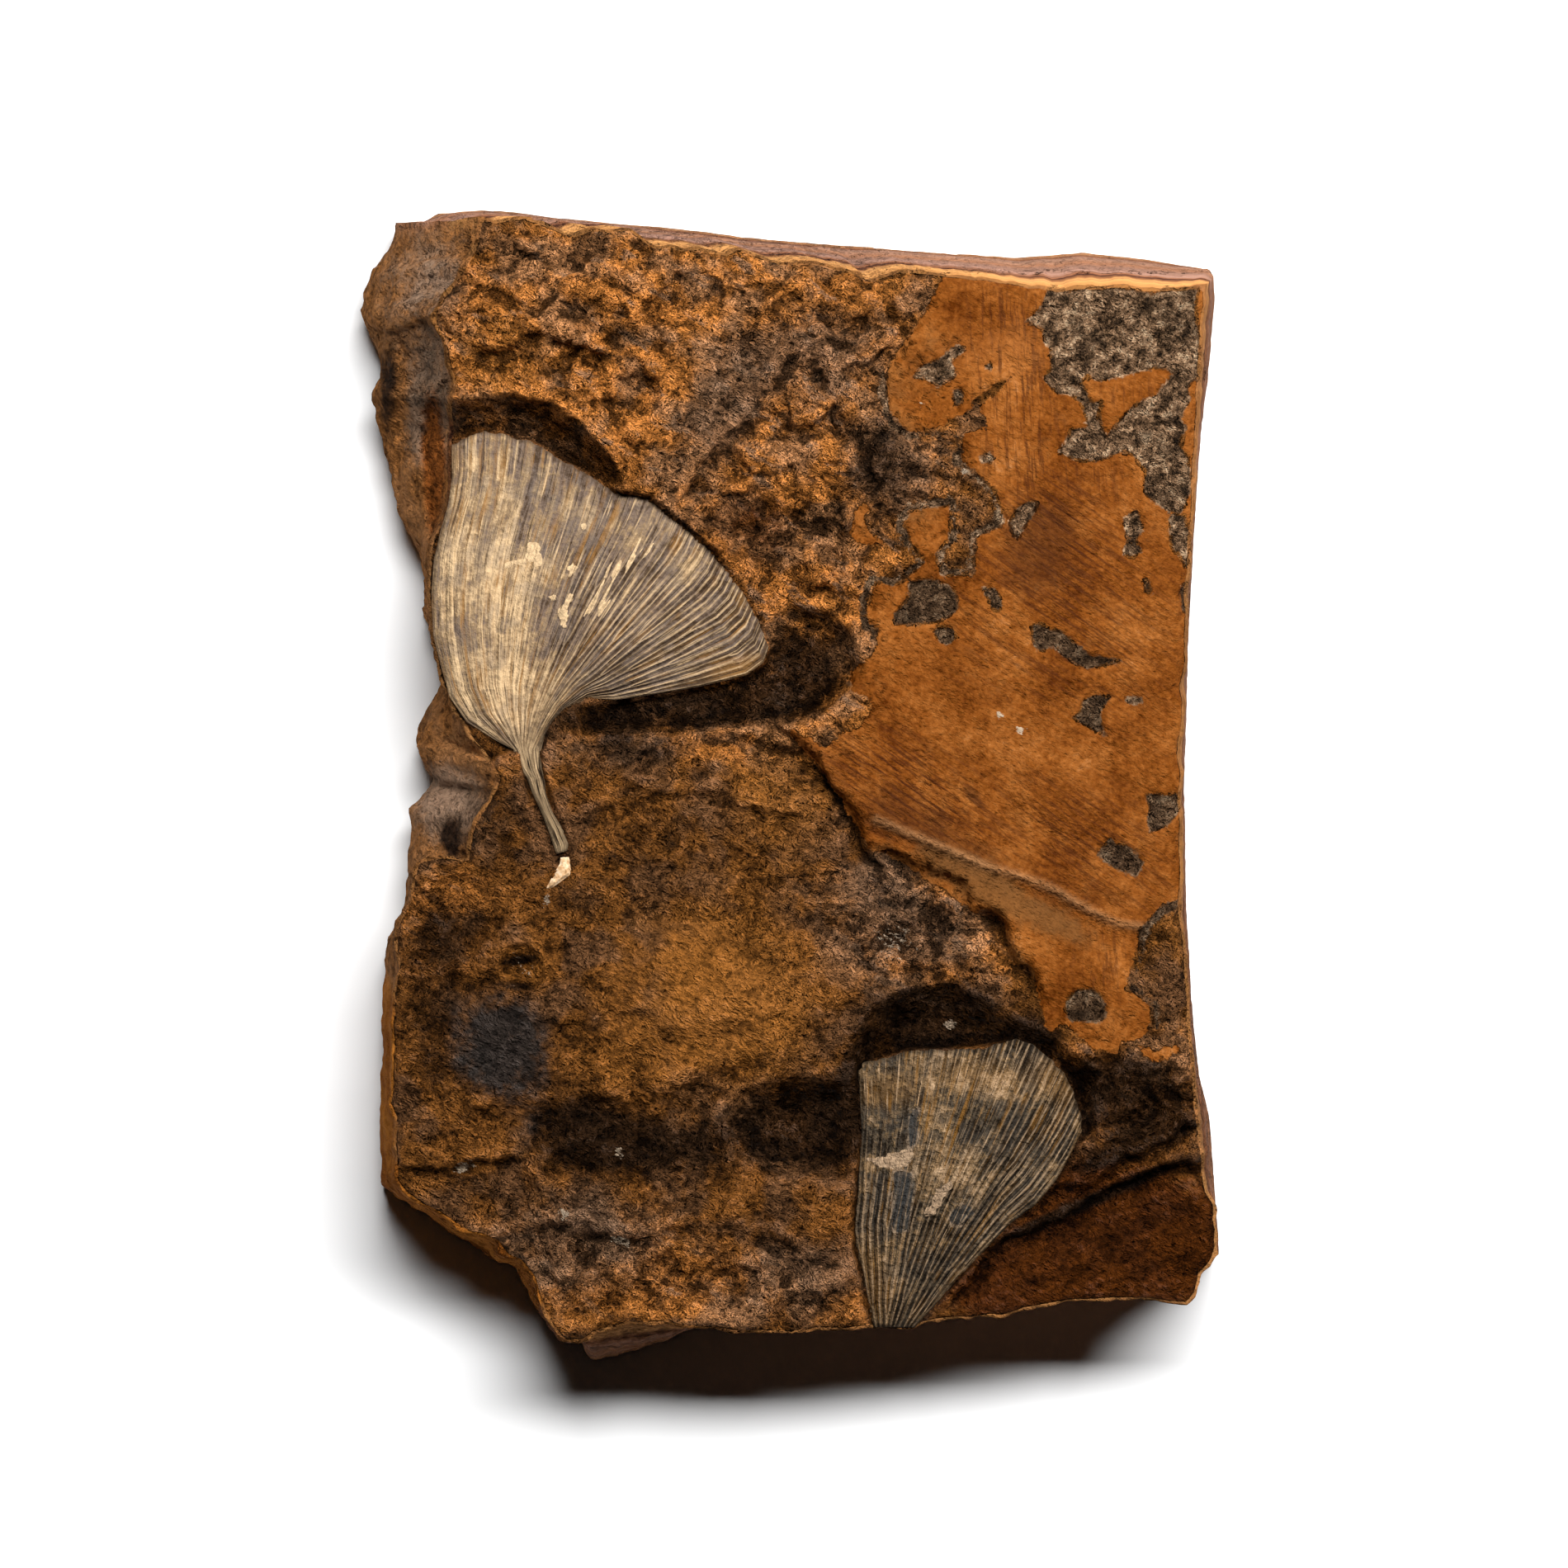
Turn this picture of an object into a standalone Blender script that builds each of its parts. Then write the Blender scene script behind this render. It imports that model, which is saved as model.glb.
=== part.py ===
"""A fossil leaf plate: a broken slab of rusty ironstone with two ginkgo leaves lying in its face.

Lengths are millimetres until a mesh is made, then metres. The face looks up (+Z), the slab's length runs
along Y, and the origin is under the middle of the slab, on the surface that it rests on. Outlines are laid
down as they look from straight above, from SIGHT_DISTANCE over the face, so what lies lower is a little
larger than it looks.
"""

import bmesh
import bpy
import numpy as np
from mathutils import Vector

MM = 0.001

# Driving dimensions
FACE_HEIGHT = 27.0  # the face's reference level above the base
SIGHT_DISTANCE = 700.0
MIDDLE = (0.95, -0.02)  # the middle of the slab's outline, which goes to the origin
LEAF_THICKNESS = 1.0  # the mineral film of each leaf
STEM_THICKNESS = 1.6
FLAKE_THICKNESS = 1.3
GAP = 0.3  # clearance that each fossil keeps in its bed
PROUD = 0.3  # how far a leaf stands above the rock at its edge
SHOULDER = 1.3  # width over which the rock comes to a leaf's level
VEIN_HEIGHT = 0.2
CUTTER_REACH = 12.0  # how far a pocket's cutter reaches above a leaf
OPEN_SIDE = 4.0  # how far it reaches past the slab's edge, where a leaf is broken off with the slab
RIM_ROUNDING = 0.9  # how far the face falls at its rim
CREST_HEIGHT = 0.8  # the crest of the smooth skin, and the trough in front of it
TROUGH_DEPTH = 1.6
HOLLOW_CURVE = 1.5  # how steeply a hollow's wall starts at its rim

# Breakage of the face: heights and sizes
UNEVENNESS, UNEVENNESS_SIZE, FACE_DROP = 0.5, 11.0, 0.4
WANDER, WANDER_SIZE = 1.4, 6.0  # how far the edges of ledges stray from a plain line
SHELLS, SHELL_SIZE = 1.3, 8.0
LEDGES, LEDGE_SIZES, LEDGE_STEPS = 1.5, (7.0, 3.4), 3.0
SIDEWAYS = 1.3  # how much wider than long the ledges are
SANDY, HACKLY_MORE = 0.45, 0.60  # roughness of sandy rock, and how much more hackly rock has
SMOOTHNESS = 0.93  # how far the skin evens the roughness out
PANE_SMOOTHNESS, PANE_EDGE = 0.8, 2.0
HOLLOW_SMOOTHNESS, HOLLOW_EDGE = 0.6, 1.5

# Chips of the broken sides
CHIP_SIZE = 13.0
CHIP_DEPTHS = {"front": 0.75, "right": 0.12, "back": 0.12, "left": 1.5}
EVEN_BEFORE, EVEN_BLEND, EVENNESS = -22.0, 6.0, 0.7  # the left side is more even in front of this y

# Mesh resolution
FACE_COLUMNS, FACE_ROWS = 38, 50
LARGE_LEAF_GRID = (48, 7)
SMALL_LEAF_GRID = (32, 6)
STEM_GRID = (4, 9)
FLAKE_GRID = (3, 5)

# The view that the outlines were read in: its middle, and the size of a step at the face
VIEW_MIDDLE = 950
STEP = 0.12


def seen(*places):
    """Places read in steps from the left and the top of the view, in millimetres from its middle."""
    return [((x - VIEW_MIDDLE) * STEP, (VIEW_MIDDLE - y) * STEP) for x, y in places]


# The rim of the face, side by side. x runs to the right and y to the back.
RIM_LEFT = [
    (-56.6, -57.6), (-56.4, -54.0), (-57.1, -46.8), (-57.1, -37.2), (-56.9, -30.0), (-56.2, -27.6),
    (-56.5, -21.6), (-55.9, -19.2), (-54.4, -16.8), (-54.0, -12.0), (-51.6, -10.6), (-46.1, -11.0),
    (-45.8, -7.4), (-44.2, -4.2), (-41.3, 0.0), (-42.5, 3.0), (-45.6, 6.6), (-48.0, 10.6), (-49.6, 14.2),
    (-50.7, 18.4), (-51.6, 22.6), (-51.9, 30.0), (-51.5, 35.0), (-49.6, 38.9), (-48.5, 43.2),
    (-48.7, 49.2), (-48.6, 54.6), (-48.1, 57.6), (-49.0, 62.4), (-49.8, 65.0), (-51.6, 67.8),
    (-48.6, 72.0), (-45.6, 76.6), (-44.4, 79.8), (-44.2, 82.8),
]
RIM_BACK = [
    (-44.2, 82.8), (-42.0, 82.2), (-37.2, 82.6), (-34.8, 81.6), (-30.6, 79.7), (-28.2, 80.9),
    (-22.2, 80.6), (-17.8, 78.0), (-12.0, 78.0), (-9.0, 77.0), (-6.6, 78.0), (-0.6, 75.6), (3.6, 76.4),
    (10.8, 74.4), (12.0, 73.2), (16.8, 74.8), (30.0, 73.4), (38.4, 72.0), (48.0, 72.5), (52.8, 72.0),
    (61.4, 72.6),
]
RIM_RIGHT = [
    (63.0, -68.4), (63.1, -66.0), (62.6, -61.2), (61.4, -58.8), (61.0, -54.0), (60.0, -46.8),
    (59.2, -34.8), (58.3, -21.6), (58.0, -12.0), (57.8, 0.0), (58.1, 10.8), (58.4, 20.4), (59.4, 39.6),
    (60.0, 50.0), (60.6, 60.0), (60.9, 66.0), (61.4, 72.6),
]
RIM_FRONT = [
    (-56.6, -57.6), (-55.2, -59.6), (-49.2, -63.1), (-46.8, -65.3), (-42.2, -66.0), (-41.5, -68.6),
    (-38.9, -69.2), (-36.6, -71.4), (-35.4, -76.2), (-32.6, -80.6), (-30.0, -81.4), (-28.2, -80.9),
    (-27.4, -79.4), (-20.4, -78.5), (-15.0, -79.0), (-6.0, -79.8), (3.5, -79.8), (12.0, -79.3),
    (19.2, -79.2), (21.4, -78.0), (31.2, -77.5), (34.8, -76.4), (38.2, -76.2), (40.8, -75.2),
    (51.6, -74.9), (58.1, -75.8), (59.8, -74.8), (60.6, -71.4), (63.0, -68.4),
]

# The widest outline of the broken sides, below the rim
SKIRT_LEFT = [
    (-58.8, -58.4), (-58.9, -56.6), (-58.8, -42.0), (-58.4, -28.8), (-58.1, -22.8), (-56.9, -20.6),
    (-55.4, -17.4), (-54.7, -12.6), (-55.1, -10.8), (-54.6, -7.2), (-54.7, -3.6), (-52.9, -1.4),
    (-51.5, 1.1), (-53.0, 2.5), (-53.9, 5.5), (-53.5, 8.0), (-51.0, 12.6), (-50.3, 15.0), (-51.0, 19.1),
    (-51.7, 23.0), (-53.0, 25.6), (-52.3, 26.2), (-52.9, 30.7), (-53.6, 34.4), (-55.7, 38.3),
    (-57.4, 42.0), (-58.7, 49.4), (-59.6, 52.8), (-60.2, 57.2), (-59.0, 59.2), (-59.2, 62.0),
    (-61.8, 66.5), (-62.4, 69.0), (-62.0, 71.4), (-59.0, 76.8), (-57.8, 79.1), (-57.0, 81.7),
]
SKIRT_BACK = [
    (-57.0, 81.7), (-53.5, 81.8), (-50.6, 83.2), (-44.0, 83.6), (-39.1, 83.2), (-33.0, 82.4),
    (-15.5, 80.8), (-6.0, 79.6), (3.5, 78.7), (13.3, 78.1), (22.4, 77.4), (33.8, 76.6), (38.8, 77.0),
    (43.1, 77.4), (52.6, 76.4), (61.9, 75.1), (62.6, 73.9),
]
SKIRT_RIGHT = [
    (63.2, -68.4), (63.2, -65.9), (62.5, -56.0), (61.9, -48.1), (60.4, -42.2), (59.5, -34.0),
    (58.7, -18.7), (58.3, 0.0), (58.9, 22.1), (59.6, 34.8), (60.8, 51.6), (61.7, 58.7), (62.8, 70.6),
    (62.6, 73.9),
]
SKIRT_FRONT = [
    (-58.8, -58.4), (-56.3, -60.4), (-51.7, -63.5), (-44.4, -67.6), (-41.9, -70.0), (-39.4, -71.0),
    (-37.7, -73.4), (-36.8, -76.2), (-32.5, -81.0), (-29.6, -81.8), (-27.8, -84.0), (-24.1, -83.5),
    (-19.2, -82.0), (-13.0, -79.0), (-4.0, -76.4), (8.0, -75.0), (22.0, -73.6), (36.0, -72.0),
    (50.0, -71.0), (58.6, -71.6), (61.4, -70.2), (63.2, -68.4),
]

# How each broken side runs down from the rim to the base: (height as a share of the rim's, reach to the skirt)
WALL_LEFT = [(1.0, 0.0), (0.80, 0.36), (0.56, 0.84), (0.40, 1.0), (0.20, 0.96), (0.0, 0.84)]
WALL_BACK = [(1.0, 0.0), (0.82, 0.30), (0.62, 0.58), (0.40, 0.86), (0.18, 1.0), (0.0, 0.98)]
WALL_RIGHT = [(1.0, 0.0), (0.84, 0.42), (0.62, 0.80), (0.42, 1.0), (0.20, 0.96), (0.0, 0.70)]
WALL_FRONT = [(1.0, 0.0), (0.84, 0.34), (0.64, 0.70), (0.44, 0.94), (0.22, 1.0), (0.0, 0.92)]
SIDE_BLEND = 4  # border points over which one side's profile passes into the next

# Broad rises and hollows of the face: x, y, half-length, half-width, turn in degrees, height
SWELLS = [
    (-30.0, 66.0, 24.0, 10.0, 0, 1.4),
    (-7.0, 57.0, 7.0, 10.0, -40, -1.2),
    (-2.0, 34.0, 6.0, 12.0, 25, -1.2),
    (36.0, 30.0, 24.0, 30.0, 0, 0.8),
    (-12.0, -1.0, 18.0, 5.0, 4, 1.2),
    (-16.0, -20.0, 20.0, 7.0, 0, -1.6),
    (-8.0, -33.0, 17.0, 9.0, -12, 2.0),
    (-42.0, -36.0, 10.0, 12.0, 0, 1.0),
    (-46.0, -20.0, 9.0, 6.0, 30, -1.4),
    (-44.0, -66.0, 16.0, 9.0, -30, -2.0),
    (26.0, -54.0, 18.0, 18.0, 0, -2.0),
    (54.0, -68.0, 22.0, 13.0, -15, -3.2),
    (18.0, -22.0, 14.0, 6.0, -30, -1.0),
]

# Small cliffs. The face is lower on the right hand of each line: points, drop, reach of the lower side,
# width of the cliff, lip on the higher side.
SCARPS = [
    (seen((954, 886), (980, 912), (1000, 940), (1020, 972), (1040, 1004), (1058, 1032)), 3.0, 6.0, 1.8, 0.3),
    (seen((1083, 1029), (1126, 1054), (1161, 1070), (1183, 1090), (1204, 1106), (1222, 1133), (1244, 1161),
          (1258, 1190)), 2.4, 7.0, 2.2, 0.8),
    (seen((476, 1420), (500, 1410), (545, 1413), (620, 1408)), 1.8, 6.0, 1.2, 0.2),
    (seen((945, 448), (970, 434), (996, 412), (1022, 414)), 1.6, 4.0, 1.2, 0.4),
    (seen((1040, 443), (1062, 431), (1092, 417)), 1.3, 3.0, 1.0, 0.3),
    (seen((716, 990), (770, 974), (830, 960), (880, 966), (960, 985)), 1.4, 5.0, 2.0, 0.4),
    (seen((1120, 1600), (1200, 1517), (1245, 1491), (1300, 1461), (1360, 1433), (1400, 1420), (1462, 1402)),
     2.8, 4.0, 1.8, 0.1),
    (seen((1300, 1442), (1330, 1430), (1360, 1405), (1400, 1386), (1456, 1368)), 1.8, 3.0, 1.4, 0.4),
    (seen((600, 1336), (680, 1342), (760, 1336), (830, 1318), (880, 1300)), 2.2, 7.0, 4.0, 0.2),
    (seen((820, 600), (856, 560), (900, 512), (932, 470)), 1.3, 4.0, 1.4, 0.2),
    (seen((690, 1240), (760, 1225), (830, 1250), (900, 1240)), 1.0, 5.0, 3.0, 0.2),
    (seen((560, 1512), (660, 1490), (760, 1500), (860, 1488), (940, 1500)), 1.4, 5.0, 2.0, 0.2),
    (seen((590, 420), (660, 404), (740, 430), (800, 410)), 1.0, 4.0, 1.6, 0.2),
]
SCARP_END = 3.0  # distance over which a cliff dies out past its ends
LIP_WIDTH = 1.8

# The crest of the smooth skin, with a trough on its right hand
CREST = seen((1061, 993), (1111, 1014), (1154, 1032), (1197, 1050), (1244, 1064), (1279, 1079), (1315, 1100),
             (1351, 1118), (1383, 1123))
CREST_SLOPES = (2.2, 1.2)  # how far the crest falls off behind and in front of the line
TROUGH_REACH = 7.0

# Hollows broken into the face: outline, drop, width of the sloping wall
HOLLOWS = [
    (seen((480, 481), (550, 481), (565, 483), (590, 479), (620, 477), (650, 483), (670, 484), (680, 492),
          (700, 507), (714, 522), (728, 535), (742, 556), (760, 590), (700, 620), (560, 600), (480, 560)),
     6.0, 5.4),
    (seen((1022, 1330), (1030, 1290), (1038, 1250), (1058, 1216), (1080, 1203), (1112, 1194), (1160, 1190),
          (1200, 1212), (1240, 1238), (1282, 1260), (1330, 1300), (1330, 1380), (1260, 1400), (1100, 1400),
          (1030, 1380)), 5.4, 5.6),
    (seen((690, 856), (745, 836), (830, 820), (895, 800), (915, 782), (925, 760), (955, 728), (1005, 740),
          (1038, 776), (1046, 812), (1012, 858), (960, 884), (880, 884), (790, 894), (706, 892)), 3.2, 2.6),
    (seen((872, 1350), (900, 1318), (960, 1300), (1030, 1306), (1048, 1350), (1044, 1400), (1030, 1436),
          (980, 1428), (930, 1432), (890, 1402)), 3.8, 4.5),
    (seen((604, 1168), (615, 1146), (640, 1143), (660, 1160), (662, 1185), (648, 1200), (620, 1196)), 1.3, 1.6),
]

# The smooth skin on the right of the face, where the rock isn't broken rough
SKIN = seen(
    (1145, 330), (1075, 450), (1090, 520), (1190, 490), (1165, 545), (1210, 600), (1180, 690), (1135, 670),
    (1100, 640), (1110, 690), (1052, 740), (1030, 820), (1055, 860), (980, 900), (1020, 975), (1060, 1032),
    (1190, 1104), (1262, 1230), (1390, 1256), (1364, 1200), (1400, 1110), (1450, 1080), (1450, 900), (1480, 330),
)

# Smoother broken facets in the rough rock
PANES = [
    seen((820, 388), (880, 372), (942, 380), (952, 430), (934, 476), (884, 540), (822, 602), (786, 566),
         (800, 480)),
    seen((1040, 1020), (1078, 1034), (1082, 1080), (1060, 1100), (1030, 1092), (1010, 1070)),
    seen((1100, 1610), (1200, 1535), (1250, 1508), (1310, 1474), (1370, 1448), (1455, 1418), (1490, 1500),
         (1480, 1590), (1300, 1600)),
    seen((545, 1215), (600, 1190), (650, 1215), (672, 1270), (660, 1335), (640, 1390), (600, 1350),
         (545, 1290)),
    seen((740, 1130), (860, 1110), (940, 1180), (930, 1270), (820, 1300), (730, 1240)),
]

# Where the broken rock is hackly, rather than sandy: x, y, half-length, half-width, turn in degrees, strength
HACKLY = [
    (-25.0, 64.0, 36.0, 20.0, 0, 1.0), (5.0, 50.0, 24.0, 30.0, 0, 1.0), (2.0, 26.0, 12.0, 22.0, 0, 1.0),
    (20.0, -22.0, 15.0, 13.0, -30, 1.0), (50.0, -44.0, 15.0, 10.0, 0, 0.9),
    (-30.0, -70.0, 28.0, 10.0, 0, 0.7), (0.0, -74.0, 26.0, 6.0, 0, 0.6), (-50.0, -20.0, 9.0, 12.0, 0, 0.6),
    (-8.0, 8.0, 24.0, 6.0, 0, 0.8), (-2.0, -50.0, 11.0, 9.0, 0, 0.7), (-24.0, -50.0, 14.0, 8.0, 0, 0.3),
]

# The large leaf fans out from its stem, and the small leaf is broken off with the slab's front edge.
LARGE_LEAF = {
    "left": [(-39.4, 5.0), (-42.0, 6.4), (-46.1, 9.0), (-48.6, 12.6), (-49.9, 17.0), (-51.0, 21.6),
             (-51.3, 27.6), (-50.9, 32.6), (-50.0, 36.6), (-48.9, 40.4), (-48.3, 44.4), (-48.3, 49.3)],
    "outer": [(-48.3, 49.3), (-46.2, 50.2), (-43.8, 51.2), (-42.0, 51.0), (-36.6, 49.7), (-32.4, 47.0),
              (-28.2, 44.8), (-24.6, 42.4), (-19.8, 41.5), (-15.6, 38.2), (-10.8, 34.2), (-6.6, 28.8),
              (-3.8, 24.0), (-2.2, 19.8)],
    "right": [(-35.3, 5.0), (-34.8, 7.0), (-33.8, 9.0), (-32.0, 11.0), (-28.2, 12.5), (-24.6, 12.2),
              (-20.4, 12.8), (-12.0, 14.2), (-5.4, 15.8), (-3.0, 17.6), (-2.2, 19.8)],
    "tilt": (-0.5, 0.037, -0.049),
    "crown": (-33.0, 24.0, 18.0, 1.7),
    "roll": 1.0,  # how far the left margin rolls down
    # the broken edge of rock that the left margin hangs over
    "beyond": [(-40.0, 5.4), (-44.0, 3.0), (-54.0, 8.0), (-60.0, 20.0), (-60.0, 44.0), (-50.0, 50.0),
               (-47.0, 49.6), (-46.0, 30.0), (-44.0, 10.0)],
}
SMALL_LEAF = {
    "left": [(13.1, -79.0), (12.0, -75.0), (10.6, -67.8), (10.1, -64.8), (10.6, -60.0), (11.3, -50.4),
             (10.8, -41.8)],
    "outer": [(10.8, -41.8), (11.5, -40.6), (14.4, -40.0), (18.0, -38.9), (28.8, -38.5), (31.2, -37.8),
              (33.8, -37.0), (36.0, -37.8), (38.4, -39.6), (40.8, -42.2), (42.2, -45.0), (43.2, -48.0),
              (43.3, -50.6)],
    "right": [(19.0, -79.0), (21.6, -76.2), (25.2, -72.0), (28.8, -68.2), (33.0, -63.8), (36.6, -61.2),
              (39.6, -57.6), (41.6, -54.2), (43.3, -50.6)],
    "tilt": (-4.4, -0.004, -0.012),
    "crown": (27.0, -54.0, 15.0, 2.0),
    "roll": 0.5,
    "beyond": [],
}
STEM_LINE = [(-37.3, 8.0), (-36.9, 4.0), (-36.2, 0.6), (-34.8, -3.6), (-33.4, -7.2), (-32.3, -9.9)]
STEM_HALF_WIDTHS = [1.7, 1.5, 1.25, 1.15, 1.1, 1.0]
FLAKE = {
    "left": [(-34.6, -15.2), (-33.4, -12.9), (-32.6, -11.6), (-32.5, -10.7)],
    "outer": [(-32.5, -10.7), (-31.3, -10.6)],
    "right": [(-34.2, -15.4), (-32.6, -14.3), (-31.1, -13.2), (-30.9, -11.9), (-31.3, -10.6)],
    "tilt": (-1.0, 0.0, 0.0),
    "crown": (-32.5, -13.0, 3.0, 0.7),
    "roll": 0.0,
    "beyond": [],
}
ROLL_WIDTH = 3.5
STEM_TOP = (-1.5, 0.0, -0.04)  # the stem's back, as a tilted plane
STEM_ROUNDING = 0.7

RUST = (0.27, 0.09, 0.02, 1.0)
FILM = (0.36, 0.26, 0.16, 1.0)
GREY_FILM = (0.20, 0.14, 0.09, 1.0)
CREAM = (0.62, 0.42, 0.24, 1.0)


def scatter(i, j, seed):
    """A repeatable random number from 0 to 1 for each whole-number place."""
    n = i.astype(np.int64) * 374761393 + j.astype(np.int64) * 668265263 + seed * 1442695041
    n &= 0xFFFFFFFF
    n = (n ^ (n >> 13)) * 1274126177 & 0xFFFFFFFF
    return ((n ^ (n >> 16)) & 0xFFFF) / 65535.0


def smooth_step(t):
    t = np.clip(t, 0.0, 1.0)
    return t * t * (3.0 - 2.0 * t)


def lumps(x, y, size, seed):
    """Rounded unevenness of about this size, between -1 and 1."""
    x, y = x / size, y / size
    i, j = np.floor(x), np.floor(y)
    total = np.zeros(np.shape(x))
    for di in (0, 1):
        for dj in (0, 1):
            turn = 2 * np.pi * scatter(i + di, j + dj, seed)
            ox, oy = x - i - di, y - j - dj
            weight = smooth_step(1 - np.abs(ox)) * smooth_step(1 - np.abs(oy))
            total += weight * (np.cos(turn) * ox + np.sin(turn) * oy)
    return 1.5 * total


def scallops(x, y, size, seed):
    """Shell-like chips of about this size that meet in sharp ridges, from 0 in a chip to 1 on a ridge."""
    x, y = x / size, y / size
    i, j = np.floor(x), np.floor(y)
    nearest = np.ones(np.shape(x))
    for di in (-1, 0, 1):
        for dj in (-1, 0, 1):
            cx = i + di + scatter(i + di, j + dj, seed)
            cy = j + dj + scatter(i + di, j + dj, seed + 1)
            nearest = np.minimum(nearest, (x - cx) ** 2 + (y - cy) ** 2)
    return nearest


def along_line(x, y, points):
    """Distance to a line of points, the side of it (+1 on the right hand), and how far past an end."""
    best = np.full(np.shape(x), np.inf)
    side, past = np.zeros(np.shape(x)), np.zeros(np.shape(x))
    for (ax, ay), (bx, by) in zip(points[:-1], points[1:]):
        dx, dy = bx - ax, by - ay
        share = ((x - ax) * dx + (y - ay) * dy) / (dx * dx + dy * dy)
        t = np.clip(share, 0.0, 1.0)
        distance = np.hypot(x - ax - t * dx, y - ay - t * dy)
        nearer = distance < best
        best = np.where(nearer, distance, best)
        side = np.where(nearer, np.sign((x - ax) * dy - (y - ay) * dx), side)
        past = np.where(nearer, np.abs(share - t) * np.hypot(dx, dy), past)
    return best, side, past


def depth_inside(x, y, outline):
    """Distance inside a closed outline, negative outside it."""
    closed = list(outline) + [outline[0]]
    distance = along_line(x, y, closed)[0]
    inside = np.zeros(np.shape(x), bool)
    for (ax, ay), (bx, by) in zip(closed[:-1], closed[1:]):
        if ay != by:
            inside ^= ((ay > y) != (by > y)) & (x < ax + (y - ay) * (bx - ax) / (by - ay))
    return np.where(inside, distance, -distance)


def fan_outline(fan):
    return fan["left"] + fan["outer"][1:] + fan["right"][::-1][1:]


def fan_level(fan, x, y):
    """Height of a fan's upper surface: a tilted plane with a low dome on it, rolled down at the left."""
    level, slope_x, slope_y = fan["tilt"]
    cx, cy, radius, rise = fan["crown"]
    dome = rise * np.exp(-((x - cx) ** 2 + (y - cy) ** 2) / radius**2)
    margin, side, _ = along_line(x, y, fan["left"])
    roll = fan["roll"] * (1 - smooth_step(np.where(side > 0, margin, 0) / ROLL_WIDTH))
    return level + slope_x * x + slope_y * y + dome - roll


def stem_level(x, y):
    level, slope_x, slope_y = STEM_TOP
    return level + slope_x * x + slope_y * y


def oval(x, y, cx, cy, length, width, turn):
    """Squared distance from an oval's middle, 1 at its edge."""
    c, s = np.cos(np.radians(turn)), np.sin(np.radians(turn))
    along, across = (x - cx) * c + (y - cy) * s, (y - cy) * c - (x - cx) * s
    return (along / length) ** 2 + (across / width) ** 2


def scarp(x, y, points, drop, reach, width, lip):
    distance, side, past = along_line(x, y, points)
    lower = smooth_step(0.5 + side * distance / width)
    form = lip * (1 - lower) * np.exp(-distance / LIP_WIDTH) - drop * lower * np.exp(-distance / reach)
    return form * np.exp(-((past / SCARP_END) ** 2))


def terraces(field, steps):
    """A field broken into small ledges."""
    scaled = field * steps
    tread = np.floor(scaled)
    return (tread + smooth_step((scaled - tread - 0.5) / 0.5)) / steps


def crest(x, y):
    distance, side, past = along_line(x, y, CREST)
    front = side > 0
    form = CREST_HEIGHT * np.exp(-distance / np.where(front, CREST_SLOPES[1], CREST_SLOPES[0]))
    form -= TROUGH_DEPTH * front * (1 - np.exp(-distance / CREST_SLOPES[1])) * np.exp(-distance / TROUGH_REACH)
    return form * np.exp(-((past / SCARP_END) ** 2))


def roughness(x, y, bent_x, bent_y):
    """How rough the rock is at each place, from 0 to about 1."""
    even = np.ones(np.shape(x))
    for *spot, strength in HACKLY:
        even *= 1 - strength * np.exp(-(oval(x, y, *spot) ** 1.5))
    rough = SANDY + HACKLY_MORE * (1 - even)
    rough *= 1 - SMOOTHNESS * smooth_step(0.5 + depth_inside(x, y, SKIN))
    for outline in PANES:
        rough *= 1 - PANE_SMOOTHNESS * smooth_step(0.5 + depth_inside(bent_x, bent_y, outline) / PANE_EDGE)
    for outline, _, _ in HOLLOWS:
        rough *= 1 - HOLLOW_SMOOTHNESS * smooth_step(1 + depth_inside(x, y, outline) / HOLLOW_EDGE)
    return rough


def relief(x, y):
    """Height of the rock's face over its reference level."""
    bent_x = x + WANDER * lumps(x, y, WANDER_SIZE, 31)
    bent_y = y + WANDER * lumps(x, y, WANDER_SIZE, 33)
    z = UNEVENNESS * lumps(x, y, UNEVENNESS_SIZE, 1) - FACE_DROP + crest(x, y)
    for *form, height in SWELLS:
        z += height * np.exp(-oval(x, y, *form))
    for form in SCARPS:
        z += scarp(bent_x, bent_y, *form)
    for outline, drop, wall in HOLLOWS:
        z -= drop * (1 - (1 - np.clip(depth_inside(x, y, outline) / wall, 0, 1)) ** HOLLOW_CURVE)
    rough = roughness(x, y, bent_x, bent_y)
    ledges = lumps(bent_x, SIDEWAYS * bent_y, LEDGE_SIZES[0], 46)
    ledges += 0.5 * lumps(bent_x, SIDEWAYS * bent_y, LEDGE_SIZES[1], 47)
    z += rough * SHELLS * (scallops(bent_x, bent_y, SHELL_SIZE, 2) - 0.4)
    z += rough * LEDGES * terraces(ledges, LEDGE_STEPS)
    for fan in (LARGE_LEAF, SMALL_LEAF, FLAKE):
        near = smooth_step(1.0 + depth_inside(x, y, fan_outline(fan)) / SHOULDER)
        if fan["beyond"]:
            near = np.maximum(near, smooth_step(1.0 + depth_inside(x, y, fan["beyond"]) / SHOULDER))
        z += near * (fan_level(fan, x, y) - PROUD - z)
    beside = smooth_step(1.0 - (along_line(x, y, STEM_LINE[1:])[0] - 1.2) / SHOULDER)
    return z + beside * (stem_level(x, y) - PROUD - z)


def resampled(points, count):
    """count points evenly spaced along a line through points."""
    points = np.array(points, float)
    run = np.concatenate([[0.0], np.cumsum(np.hypot(*np.diff(points, axis=0).T))])
    at = np.linspace(0.0, run[-1], count)
    return np.stack([np.interp(at, run, points[:, 0]), np.interp(at, run, points[:, 1])], axis=1)


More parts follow.
